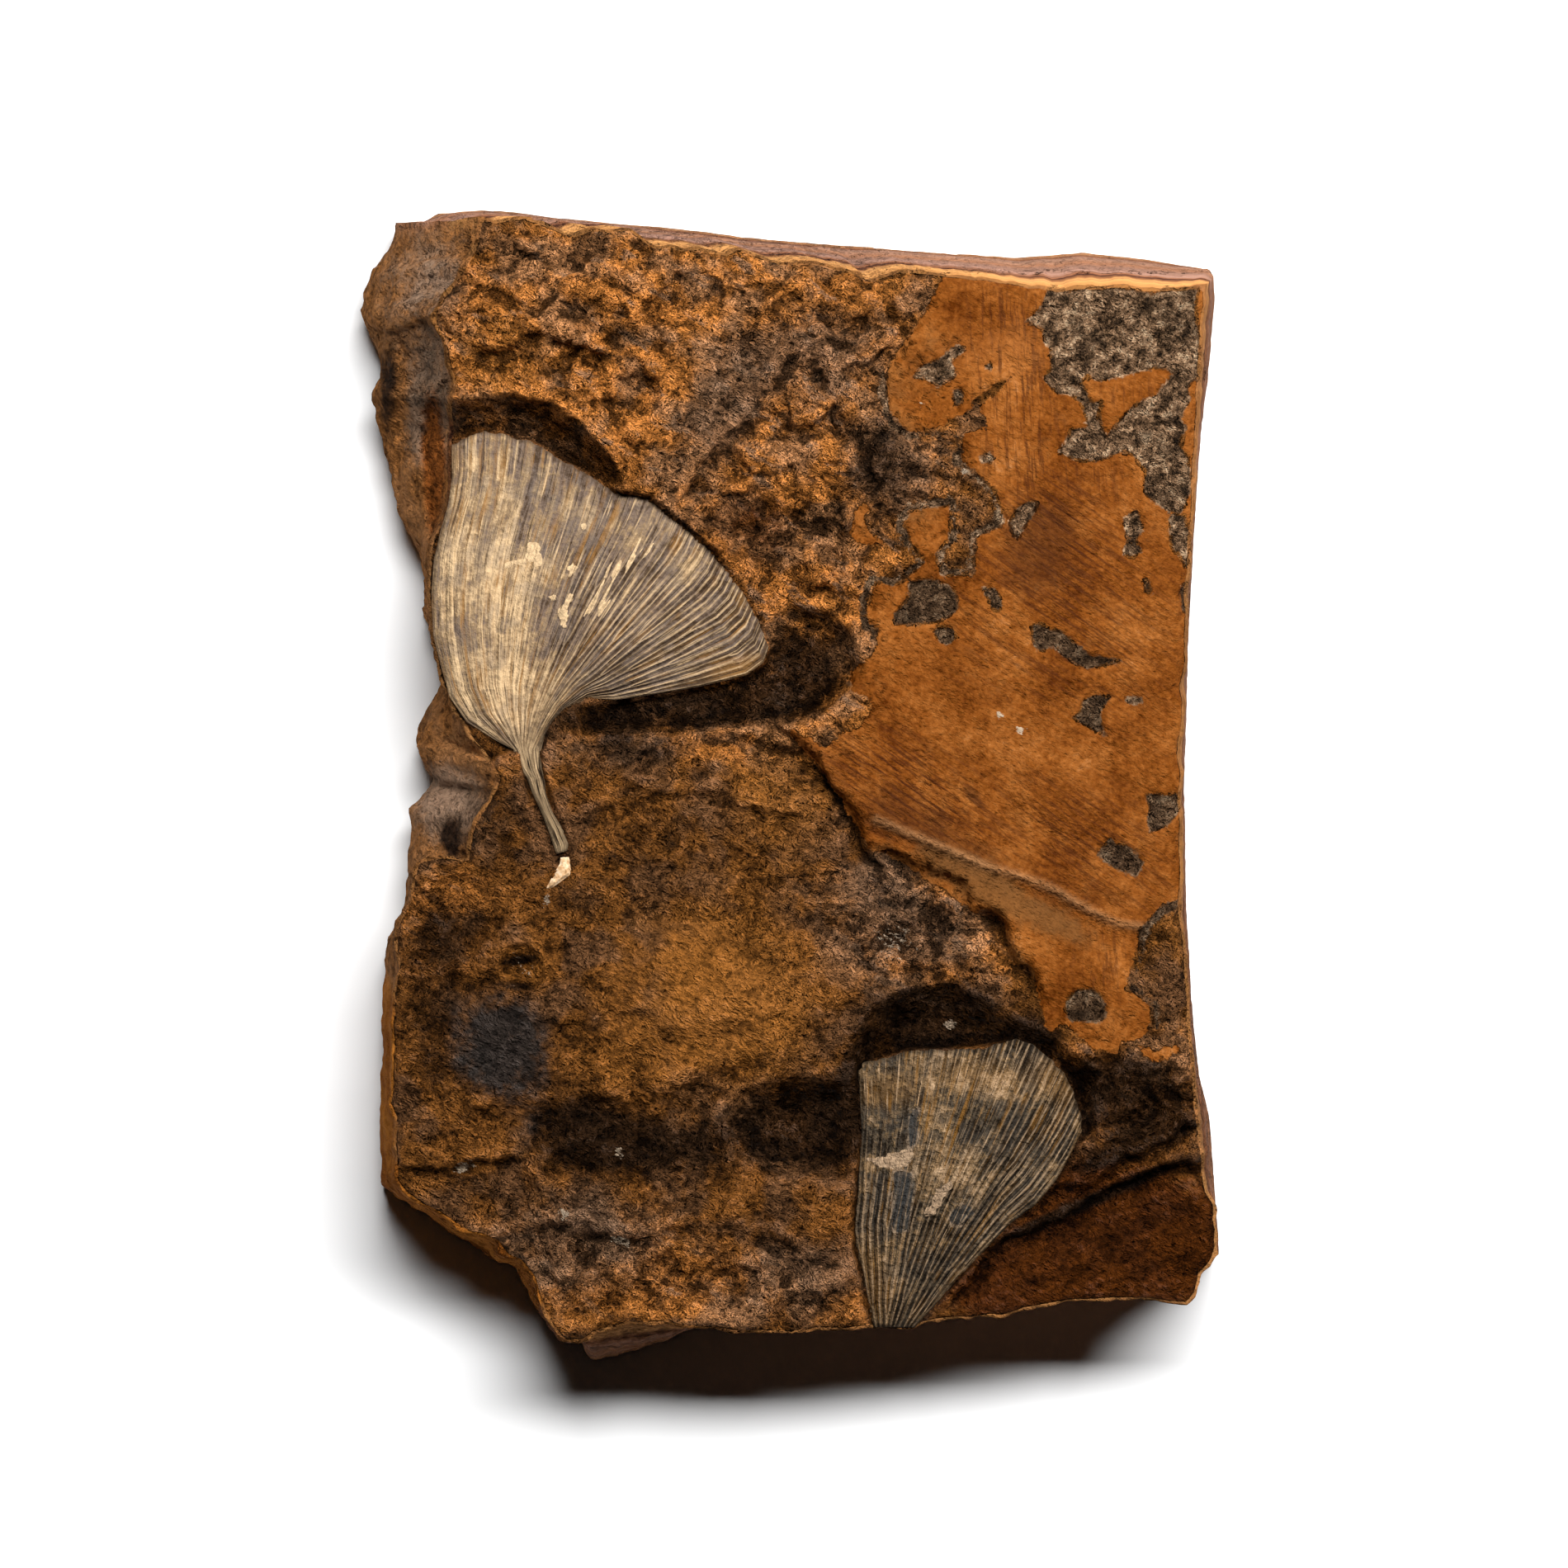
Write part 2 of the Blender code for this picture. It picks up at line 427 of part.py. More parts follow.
def spanned(left, outer, right, foot, columns, rows):
    """A grid of points between four border lines, from the foot up to the outer one."""
    u = np.linspace(0, 1, columns + 1)[None, :, None]
    v = np.linspace(0, 1, rows + 1)[:, None, None]
    left, right = resampled(left, rows + 1)[:, None], resampled(right, rows + 1)[:, None]
    foot, outer = resampled(foot, columns + 1)[None], resampled(outer, columns + 1)[None]
    corners = (foot[:, :1], foot[:, -1:], outer[:, :1], outer[:, -1:])
    plain = (1 - v) * ((1 - u) * corners[0] + u * corners[1]) + v * ((1 - u) * corners[2] + u * corners[3])
    bow_sides = (1 - u) * (left - plain[:, :1]) + u * (right - plain[:, -1:])
    bow_ends = (1 - v) * (foot - plain[:1]) + v * (outer - plain[-1:])
    return plain + bow_sides + bow_ends


def fan_points(fan, grid):
    foot = [fan["left"][0], fan["right"][0]]
    return spanned(fan["left"], fan["outer"], fan["right"], foot, *grid)


def shifted(points, amount):
    """A line moved to its left hand by amount."""
    points = np.array(points, float)
    along = np.gradient(points, axis=0)
    along /= np.hypot(*along.T)[:, None]
    return points + amount * np.stack([-along[:, 1], along[:, 0]], axis=1)


def widened(fan, left=GAP, outer=GAP, right=GAP, foot=GAP):
    """A fan whose borders are moved outwards."""
    sides = {
        "left": shifted(fan["left"], left),
        "outer": shifted(fan["outer"], outer),
        "right": shifted(fan["right"], -right),
    }
    sides["left"][-1] += sides["outer"][0] - np.array(fan["outer"][0])
    sides["right"][-1] += sides["outer"][-1] - np.array(fan["outer"][-1])
    sides["outer"][0], sides["outer"][-1] = sides["left"][-1], sides["right"][-1]
    back = np.array(fan["left"][0], float) + fan["right"][0] - fan["left"][1] - fan["right"][1]
    back *= foot / np.hypot(*back)
    sides["left"][0] += back
    sides["right"][0] += back
    return {name: [tuple(p) for p in line] for name, line in sides.items()}


def stem_fan():
    """The stem as a fan from its broken end to just under the blade."""
    line = resampled(STEM_LINE[::-1], len(STEM_LINE))
    widths = np.array(STEM_HALF_WIDTHS[::-1])[:, None]
    left = line + (shifted(line, 1.0) - line) * widths
    right = line + (shifted(line, -1.0) - line) * widths
    return {"left": left, "outer": np.array([left[-1], right[-1]]), "right": right}


def new_object(name, bm, colour, collection):
    mesh = bpy.data.meshes.new(name)
    bmesh.ops.recalc_face_normals(bm, faces=bm.faces[:])
    bm.to_mesh(mesh)
    bm.free()
    obj = bpy.data.objects.new(name, mesh)
    collection.objects.link(obj)
    material = bpy.data.materials.new(name)
    material.use_nodes = True
    shader = material.node_tree.nodes["Principled BSDF"]
    shader.inputs["Base Color"].default_value = colour
    shader.inputs["Roughness"].default_value = 0.8
    mesh.materials.append(material)
    return obj


def placed(x, y, z):
    """The true place of what is seen at x, y and lies at height z over the base."""
    grow = 1.0 + (FACE_HEIGHT - z) / SIGHT_DISTANCE
    return Vector((x * grow - MIDDLE[0], y * grow - MIDDLE[1], z)) * MM


def grid_with_places(rows, columns):
    """A grid primitive, with the row and column of each vertex kept in two layers."""
    bm = bmesh.new()
    bmesh.ops.create_grid(bm, x_segments=columns, y_segments=rows, size=0.5)
    row, column = bm.verts.layers.int.new("row"), bm.verts.layers.int.new("column")
    for vert in bm.verts:
        vert[row] = round((vert.co.y + 0.5) * rows)
        vert[column] = round((vert.co.x + 0.5) * columns)
    return bm, row, column


def sheet_solid(name, points, top, bottom, colour, collection):
    """A closed solid between two heights over one grid of points."""
    rows, columns = top.shape
    bm, row, column = grid_with_places(rows - 1, columns - 1)
    lower = bm.verts[:]
    extruded = bmesh.ops.extrude_face_region(bm, geom=bm.faces[:] + bm.edges[:] + bm.verts[:])["geom"]
    upper = [v for v in extruded if isinstance(v, bmesh.types.BMVert)]
    for verts, heights in ((lower, bottom), (upper, top)):
        for vert in verts:
            place = vert[row], vert[column]
            vert.co = placed(*points[place], FACE_HEIGHT + heights[place])
    return new_object(name, bm, colour, collection)


def blade(name, fan, grid, colour, collection):
    """A leaf's film, with a ridge on every second column for its veins."""
    points = fan_points(fan, grid)
    level = fan_level(fan, points[..., 0], points[..., 1])
    ridges = VEIN_HEIGHT * (np.arange(grid[0] + 1) % 2)
    ridges[[0, -1]] = -VEIN_HEIGHT
    return sheet_solid(name, points, level + ridges, level - LEAF_THICKNESS, colour, collection)


def stem(name, collection):
    points = fan_points(stem_fan(), STEM_GRID)
    level = stem_level(points[..., 0], points[..., 1])
    across = np.linspace(-1, 1, STEM_GRID[0] + 1)
    top = level - STEM_ROUNDING * (across**2 - 0.6)
    return sheet_solid(name, points, top, level - STEM_THICKNESS, FILM, collection)


def pocket(name, fan, grid, level, thickness, collection):
    """The cutter of a bed, from under a fossil to well above it."""
    points = fan_points(fan, grid)
    height = level(points[..., 0], points[..., 1])
    return sheet_solid(name, points, height + CUTTER_REACH, height - thickness - GAP, CREAM, collection)


def eased_round(values):
    """Values of the border points, eased from one side of the slab into the next."""
    eased = sum(np.roll(values, k, axis=0) for k in range(-SIDE_BLEND, SIDE_BLEND + 1))
    return eased / (2 * SIDE_BLEND + 1)


def slab(collection):
    """The rock: its face is a grid, its broken sides are pulled down from the rim, and its base is flat."""
    columns, rows = FACE_COLUMNS, FACE_ROWS
    points = spanned(RIM_LEFT, RIM_BACK, RIM_RIGHT, RIM_FRONT, columns, rows)
    heights = FACE_HEIGHT + relief(points[..., 0], points[..., 1])
    heights[[0, -1]] -= RIM_ROUNDING
    heights[1:-1, [0, -1]] -= RIM_ROUNDING
    bm, row, column = grid_with_places(rows, columns)
    for vert in bm.verts:
        place = vert[row], vert[column]
        vert.co = placed(*points[place], heights[place])

    # The border's places in one loop, starting at the front left corner
    loop = [(0, j) for j in range(columns)] + [(i, columns) for i in range(rows)]
    loop += [(rows, j) for j in range(columns, 0, -1)] + [(i, 0) for i in range(rows, 0, -1)]
    index = {place: k for k, place in enumerate(loop)}
    rim = np.array([points[place] for place in loop])
    run = np.cumsum(np.hypot(*(rim - np.roll(rim, 1, axis=0)).T))
    spread = np.roll(rim, -1, axis=0) - np.roll(rim, 1, axis=0)
    outward = np.stack([spread[:, 1], -spread[:, 0]], axis=1) / np.hypot(*spread.T)[:, None]

    counts = (columns, rows, columns, rows)
    skirt = np.concatenate([
        resampled(SKIRT_FRONT, columns + 1)[:-1], resampled(SKIRT_RIGHT, rows + 1)[:-1],
        resampled(SKIRT_BACK, columns + 1)[:0:-1], resampled(SKIRT_LEFT, rows + 1)[:0:-1],
    ])
    profiles = eased_round(np.repeat([WALL_FRONT, WALL_RIGHT, WALL_BACK, WALL_LEFT], counts, axis=0))
    depths = eased_round(np.repeat([CHIP_DEPTHS[side] for side in ("front", "right", "back", "left")], counts))
    left = eased_round(np.repeat([0.0, 0.0, 0.0, 1.0], counts))
    depths *= 1 - EVENNESS * left * (1 - smooth_step((rim[:, 1] - EVEN_BEFORE) / EVEN_BLEND))

    border = [e for e in bm.edges if e.is_boundary]
    for station in range(1, profiles.shape[1]):
        share, reach = profiles[:, station].T
        z = share * [heights[place] for place in loop]
        chips = depths * scallops(run + 0.8 * z, 1.3 * z, CHIP_SIZE, 5)
        places = rim + reach[:, None] * (skirt - rim) - chips[:, None] * outward
        extruded = bmesh.ops.extrude_edge_only(bm, edges=border)["geom"]
        for vert in (v for v in extruded if isinstance(v, bmesh.types.BMVert)):
            k = index[vert[row], vert[column]]
            vert.co = placed(*places[k], z[k])
        border = [e for e in extruded if isinstance(e, bmesh.types.BMEdge) and e.is_boundary]
    bmesh.ops.holes_fill(bm, edges=border)
    return new_object("slab", bm, RUST, collection)


def joined(obj, tool, operation):
    """Keeps a Boolean of obj with a tool."""
    modifier = obj.modifiers.new(tool.name, "BOOLEAN")
    modifier.operation = operation
    modifier.object = tool
    tool.hide_render = True
    tool.display_type = "WIRE"


def new_collection(name):
    collection = bpy.data.collections.new(name)
    bpy.context.scene.collection.children.link(collection)
    return collection


def main():
    for obj in list(bpy.data.objects):
        bpy.data.objects.remove(obj)
    parts, tools = new_collection("fossil_leaf_plate"), new_collection("cutters")

    rock = slab(parts)
    large_leaf = blade("large_leaf", LARGE_LEAF, LARGE_LEAF_GRID, FILM, parts)
    blade("small_leaf", SMALL_LEAF, SMALL_LEAF_GRID, GREY_FILM, parts)
    joined(large_leaf, stem("stem", tools), "UNION")

    points = fan_points(FLAKE, FLAKE_GRID)
    level = fan_level(FLAKE, points[..., 0], points[..., 1])
    sheet_solid("stem_flake", points, level, level - FLAKE_THICKNESS, CREAM, parts)

    beds = [
        ("large_leaf_bed", widened(LARGE_LEAF, left=OPEN_SIDE), LARGE_LEAF_GRID,
         lambda x, y: fan_level(LARGE_LEAF, x, y), LEAF_THICKNESS),
        ("small_leaf_bed", widened(SMALL_LEAF, foot=OPEN_SIDE), SMALL_LEAF_GRID,
         lambda x, y: fan_level(SMALL_LEAF, x, y), LEAF_THICKNESS),
        ("stem_bed", widened(stem_fan()), STEM_GRID, stem_level, STEM_THICKNESS),
        ("flake_bed", widened(FLAKE), FLAKE_GRID, lambda x, y: fan_level(FLAKE, x, y), FLAKE_THICKNESS),
    ]
    for bed in beds:
        joined(rock, pocket(*bed, tools), "DIFFERENCE")


main()
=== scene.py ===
"""Looks of the fossil leaf plate: rust-brown ironstone, with two ginkgo leaves as grey-cream mineral films.

Lengths are millimetres until a mesh is made, then metres. Outlines are laid down as they look from straight
above, from SIGHT_DISTANCE over the face, so what lies lower is a little larger than it looks.
"""

import bpy
import numpy as np
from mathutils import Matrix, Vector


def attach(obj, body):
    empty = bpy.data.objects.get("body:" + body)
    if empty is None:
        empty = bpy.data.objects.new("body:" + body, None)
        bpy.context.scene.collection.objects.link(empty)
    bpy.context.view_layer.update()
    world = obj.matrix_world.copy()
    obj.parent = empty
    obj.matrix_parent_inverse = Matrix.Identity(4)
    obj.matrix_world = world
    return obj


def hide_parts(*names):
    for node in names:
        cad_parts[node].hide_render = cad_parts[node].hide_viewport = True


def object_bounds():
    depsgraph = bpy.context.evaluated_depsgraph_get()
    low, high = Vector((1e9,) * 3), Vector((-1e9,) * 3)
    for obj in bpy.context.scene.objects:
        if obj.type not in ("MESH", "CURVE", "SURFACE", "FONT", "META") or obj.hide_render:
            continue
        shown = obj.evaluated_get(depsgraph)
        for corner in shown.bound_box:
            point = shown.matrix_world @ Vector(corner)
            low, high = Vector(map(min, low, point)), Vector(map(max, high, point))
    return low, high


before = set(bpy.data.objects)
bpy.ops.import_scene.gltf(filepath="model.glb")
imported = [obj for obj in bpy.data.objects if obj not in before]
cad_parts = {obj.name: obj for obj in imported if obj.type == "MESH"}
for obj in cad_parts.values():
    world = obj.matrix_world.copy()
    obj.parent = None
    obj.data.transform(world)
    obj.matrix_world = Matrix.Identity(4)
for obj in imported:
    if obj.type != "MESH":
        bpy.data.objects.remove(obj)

CAD_BOX = [list(corner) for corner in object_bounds()]

MM = 0.001
VIEW_STEPS = 1900  # steps across the view
STEP = 0.12

# The form, as the slab was made
FACE_HEIGHT = 27.0
SIGHT_DISTANCE = 700.0
MIDDLE = (0.95, -0.02)
PROUD = 0.3  # how far the films stand over their beds
SHOULDER = 0.6  # width of the rise from the bed to the rock
RIM_ROUNDING = 0.9
FILM_THICKNESS = 1.0

# Mesh resolution
FACE_COLUMNS, FACE_ROWS = 210, 276
WALL_ROWS = 32
SIDE_COUNTS = (FACE_COLUMNS, FACE_ROWS, FACE_COLUMNS, FACE_ROWS)


def seen(*places):
    """Places read in steps from the left and the top of the view, in millimetres from its middle."""
    middle = VIEW_STEPS / 2
    return [((x - middle) * STEP, (middle - y) * STEP) for x, y in places]


RIM_LEFT = [
    (-56.6, -57.6), (-56.4, -54.0), (-57.1, -46.8), (-57.1, -37.2), (-56.9, -30.0), (-56.2, -27.6),
    (-56.5, -21.6), (-55.9, -19.2), (-54.4, -16.8), (-54.0, -12.0), (-51.6, -10.6), (-46.1, -11.0),
    (-45.8, -7.4), (-44.2, -4.2), (-41.3, 0.0), (-42.5, 3.0), (-45.6, 6.6), (-48.0, 10.6), (-49.6, 14.2),
    (-50.7, 18.4), (-51.6, 22.6), (-51.9, 30.0), (-51.5, 35.0), (-49.6, 38.9), (-48.5, 43.2),
    (-48.7, 49.2), (-48.6, 54.6), (-48.1, 57.6), (-49.0, 62.4), (-49.8, 65.0), (-51.6, 67.8),
    (-48.6, 72.0), (-45.6, 76.6), (-44.4, 79.8), (-44.2, 82.8),
]
RIM_BACK = [
    (-44.2, 82.8), (-42.0, 82.2), (-37.2, 82.6), (-34.8, 81.6), (-30.6, 79.7), (-28.2, 80.9),
    (-22.2, 80.6), (-17.8, 78.0), (-12.0, 78.0), (-9.0, 77.0), (-6.6, 78.0), (-0.6, 75.6), (3.6, 76.4),
    (10.8, 74.4), (12.0, 73.2), (16.8, 74.8), (30.0, 73.4), (38.4, 72.0), (48.0, 72.5), (52.8, 72.0),
    (61.4, 72.6),
]
RIM_RIGHT = [
    (63.0, -68.4), (63.1, -66.0), (62.6, -61.2), (61.4, -58.8), (61.0, -54.0), (60.0, -46.8),
    (59.2, -34.8), (58.3, -21.6), (58.0, -12.0), (57.8, 0.0), (58.1, 10.8), (58.4, 20.4), (59.4, 39.6),
    (60.0, 50.0), (60.6, 60.0), (60.9, 66.0), (61.4, 72.6),
]
RIM_FRONT = [
    (-56.6, -57.6), (-55.2, -59.6), (-49.2, -63.1), (-46.8, -65.3), (-42.2, -66.0), (-41.5, -68.6),
    (-38.9, -69.2), (-36.6, -71.4), (-35.4, -76.2), (-32.6, -80.6), (-30.0, -81.4), (-28.2, -80.9),
    (-27.4, -79.4), (-20.4, -78.5), (-15.0, -79.0), (-6.0, -79.8), (3.5, -79.8), (12.0, -79.3),
    (19.2, -79.2), (21.4, -78.0), (31.2, -77.5), (34.8, -76.4), (38.2, -76.2), (40.8, -75.2),
    (51.6, -74.9), (58.1, -75.8), (59.8, -74.8), (60.6, -71.4), (63.0, -68.4),
]
SKIRT_LEFT = [
    (-58.8, -58.4), (-58.9, -56.6), (-58.8, -42.0), (-58.4, -28.8), (-58.1, -22.8), (-56.9, -20.6),
    (-55.4, -17.4), (-54.7, -12.6), (-55.1, -10.8), (-54.6, -7.2), (-54.7, -3.6), (-52.9, -1.4),
    (-51.5, 1.1), (-53.0, 2.5), (-53.9, 5.5), (-53.5, 8.0), (-51.0, 12.6), (-50.3, 15.0), (-51.0, 19.1),
    (-51.7, 23.0), (-53.0, 25.6), (-52.3, 26.2), (-52.9, 30.7), (-53.6, 34.4), (-55.7, 38.3),
    (-57.4, 42.0), (-58.7, 49.4), (-59.6, 52.8), (-60.2, 57.2), (-59.0, 59.2), (-59.2, 62.0),
    (-61.8, 66.5), (-62.4, 69.0), (-62.0, 71.4), (-59.0, 76.8), (-57.8, 79.1), (-57.0, 81.7),
]
SKIRT_BACK = [
    (-57.0, 81.7), (-53.5, 81.8), (-50.6, 83.2), (-44.0, 83.6), (-39.1, 83.2), (-33.0, 82.4),
    (-15.5, 80.8), (-6.0, 79.6), (3.5, 78.7), (13.3, 78.1), (22.4, 77.4), (33.8, 76.6), (38.8, 77.0),
    (43.1, 77.4), (52.6, 76.4), (61.9, 75.1), (62.6, 73.9),
]
SKIRT_RIGHT = [
    (63.2, -68.4), (63.2, -65.9), (62.5, -56.0), (61.9, -48.1), (60.4, -42.2), (59.5, -34.0),
    (58.7, -18.7), (58.3, 0.0), (58.9, 22.1), (59.6, 34.8), (60.8, 51.6), (61.7, 58.7), (62.8, 70.6),
    (62.6, 73.9),
]
SKIRT_FRONT = [
    (-58.8, -58.4), (-56.3, -60.4), (-51.7, -63.5), (-44.4, -67.6), (-41.9, -70.0), (-39.4, -71.0),
    (-37.7, -73.4), (-36.8, -76.2), (-32.5, -81.0), (-29.6, -81.8), (-27.8, -84.0), (-24.1, -83.5),
    (-19.2, -82.0), (-13.0, -79.0), (-4.0, -76.4), (8.0, -75.0), (22.0, -73.6), (36.0, -72.0),
    (50.0, -71.0), (58.6, -71.6), (61.4, -70.2), (63.2, -68.4),
]

# How each broken side runs down from the rim: height as a share of the rim's, and reach to the skirt
WALL_LEFT = [(1.0, 0.0), (0.80, 0.36), (0.56, 0.84), (0.40, 1.0), (0.20, 0.96), (0.0, 0.84)]
WALL_BACK = [(1.0, 0.0), (0.82, 0.30), (0.62, 0.58), (0.40, 0.86), (0.18, 1.0), (0.0, 0.98)]
WALL_RIGHT = [(1.0, 0.0), (0.84, 0.42), (0.62, 0.80), (0.42, 1.0), (0.20, 0.96), (0.0, 0.70)]
WALL_FRONT = [(1.0, 0.0), (0.84, 0.34), (0.64, 0.70), (0.44, 0.94), (0.22, 1.0), (0.0, 0.92)]
SIDE_BLEND = 20  # border points over which one side's profile passes into the next
EDGE_SPAN = 8  # border points to each hand that give the direction of the edge
RIM_NICKS = (3.0, 0.45)  # size and depth
FRONT_NICKS = (3.0, 0.4)
LEFT_NICKS = (4.0, 0.35)

# Broad rises and hollows of the face: x, y, half-length, half-width, turn in degrees, height
SWELLS = [
    (-30.0, 66.0, 24.0, 10.0, 0, 1.4),
    (-7.0, 57.0, 7.0, 10.0, -40, -1.2),
    (-2.0, 34.0, 6.0, 12.0, 25, -1.2),
    (36.0, 30.0, 24.0, 30.0, 0, 0.8),
    (-12.0, -1.0, 18.0, 5.0, 4, 1.2),
    (-16.0, -20.0, 20.0, 7.0, 0, -1.6),
    (-8.0, -33.0, 17.0, 9.0, -12, 2.0),
    (-42.0, -36.0, 10.0, 12.0, 0, 1.0),
    (-46.0, -20.0, 9.0, 6.0, 30, -1.4),
    (-44.0, -66.0, 16.0, 9.0, -30, -2.0),
    (26.0, -54.0, 18.0, 18.0, 0, -2.0),
    (54.0, -68.0, 22.0, 13.0, -15, -3.2),
    (18.0, -22.0, 14.0, 6.0, -30, -1.0),
    (-35.6, -26.9, 1.2, 1.2, 0, 0.9),
]

# Small cliffs. The face is lower on the right hand of each line: points, drop, reach of the lower side,
# width of the cliff, lip on the higher side.
SCARPS = [
    (seen((954, 886), (980, 912), (1000, 940), (1020, 972), (1040, 1004), (1058, 1032)), 3.0, 6.0, 1.8, 0.3),
    (seen((1083, 1029), (1126, 1054), (1161, 1070), (1183, 1090), (1204, 1106), (1222, 1133), (1244, 1161),
          (1258, 1190)), 2.4, 7.0, 2.2, 0.8),
    (seen((476, 1420), (500, 1410), (545, 1413), (620, 1408)), 1.8, 6.0, 1.2, 0.2),
    (seen((945, 448), (970, 434), (996, 412), (1022, 414)), 1.6, 4.0, 1.2, 0.4),
    (seen((1040, 443), (1062, 431), (1092, 417)), 1.3, 3.0, 1.0, 0.3),
    (seen((716, 990), (770, 974), (830, 960), (880, 966), (960, 985)), 1.4, 5.0, 2.0, 0.4),
    (seen((1120, 1600), (1200, 1517), (1245, 1491), (1300, 1461), (1360, 1433), (1400, 1420), (1462, 1402)),
     2.8, 4.0, 1.0, 0.1),
    (seen((1300, 1442), (1330, 1430), (1360, 1405), (1400, 1386), (1456, 1368)), 1.8, 3.0, 1.4, 0.4),
    (seen((600, 1336), (680, 1342), (760, 1336), (830, 1318), (880, 1300)), 2.2, 7.0, 4.0, 0.2),
    (seen((820, 600), (856, 560), (900, 512), (932, 470)), 1.3, 4.0, 1.4, 0.2),
    (seen((690, 1240), (760, 1225), (830, 1250), (900, 1240)), 1.0, 5.0, 3.0, 0.2),
    (seen((560, 1512), (660, 1490), (760, 1500), (860, 1488), (940, 1500)), 1.4, 5.0, 2.0, 0.2),
    (seen((590, 420), (660, 404), (740, 430), (800, 410)), 1.0, 4.0, 1.6, 0.2),
    (seen((609, 1170), (630, 1164), (652, 1161)), 0.9, 1.0, 0.5, 0.3),
    (seen((664, 1146), (674, 1165), (676, 1185), (666, 1202)), 0.6, 1.5, 0.5, 0.3),
    (seen((672, 1134), (692, 1160), (690, 1192), (676, 1210)), 0.5, 2.0, 0.6, 0.2),
]
SCARP_END = 3.0  # how far past its ends a cliff fades
LIP_REACH = 1.8

# The crest of the orange skin, with a trough on its right hand
CREST = seen((1061, 993), (1111, 1014), (1154, 1032), (1197, 1050), (1244, 1064), (1279, 1079),
             (1315, 1100), (1351, 1118), (1383, 1123))
CREST_HEIGHT = 0.8
TROUGH_DEPTH = 1.6

# Ledges on the broken left side
SIDE_SCARPS = [
    (seen((430, 392), (470, 402), (495, 396), (518, 384), (535, 410), (550, 440)), 1.6, 6.0, 0.8, 0.4),
    (seen((520, 645), (518, 607), (518, 582), (513, 564), (508, 546), (508, 528), (512, 510), (520, 485),
          (533, 468)), 1.3, 3.0, 0.6, 0.5),
    (seen((477, 262), (475, 300), (472, 350), (468, 394)), 1.6, 6.0, 0.9, 0.3),
    (seen((484, 640), (480, 560), (478, 500), (482, 420)), 1.0, 4.0, 0.8, 0.3),
    (seen((505, 938), (530, 950), (565, 952), (600, 958), (606, 990), (600, 1040)), 1.6, 5.0, 0.8, 0.5),
    (seen((500, 1060), (540, 1050), (580, 1052), (606, 1046)), 1.4, 4.0, 0.8, 0.2),
]

# Hollows broken into the face: outline, drop, width of the sloping wall, lip
HOLLOWS = [
    (seen((480, 481), (550, 481), (565, 483), (590, 479), (620, 477), (650, 483), (670, 484), (680, 492),
          (700, 507), (714, 522), (728, 535), (742, 556), (760, 590), (700, 620), (560, 600), (480, 560)),
     6.0, 5.4, 0.5),
    (seen((1022, 1330), (1030, 1290), (1038, 1250), (1058, 1216), (1080, 1203), (1112, 1194), (1160, 1190),
          (1200, 1212), (1240, 1238), (1282, 1260), (1330, 1300), (1330, 1380), (1260, 1400), (1100, 1400),
          (1030, 1380)), 5.4, 5.6, 0.1),
    (seen((690, 856), (745, 836), (830, 820), (895, 800), (915, 782), (925, 760), (955, 728), (1005, 740),
          (1038, 776), (1046, 812), (1012, 858), (960, 884), (880, 884), (790, 894), (706, 892)),
     3.2, 2.6, 0.2),
    (seen((872, 1350), (900, 1318), (960, 1300), (1030, 1306), (1048, 1350), (1044, 1400), (1030, 1436),
          (980, 1428), (930, 1432), (890, 1402)), 3.8, 4.5, 0.0),
    (seen((604, 1168), (615, 1146), (640, 1143), (660, 1160), (662, 1185), (648, 1200), (620, 1196)),
     1.3, 1.0, 0.3),
]
HOLLOW_CURVE = 1.5

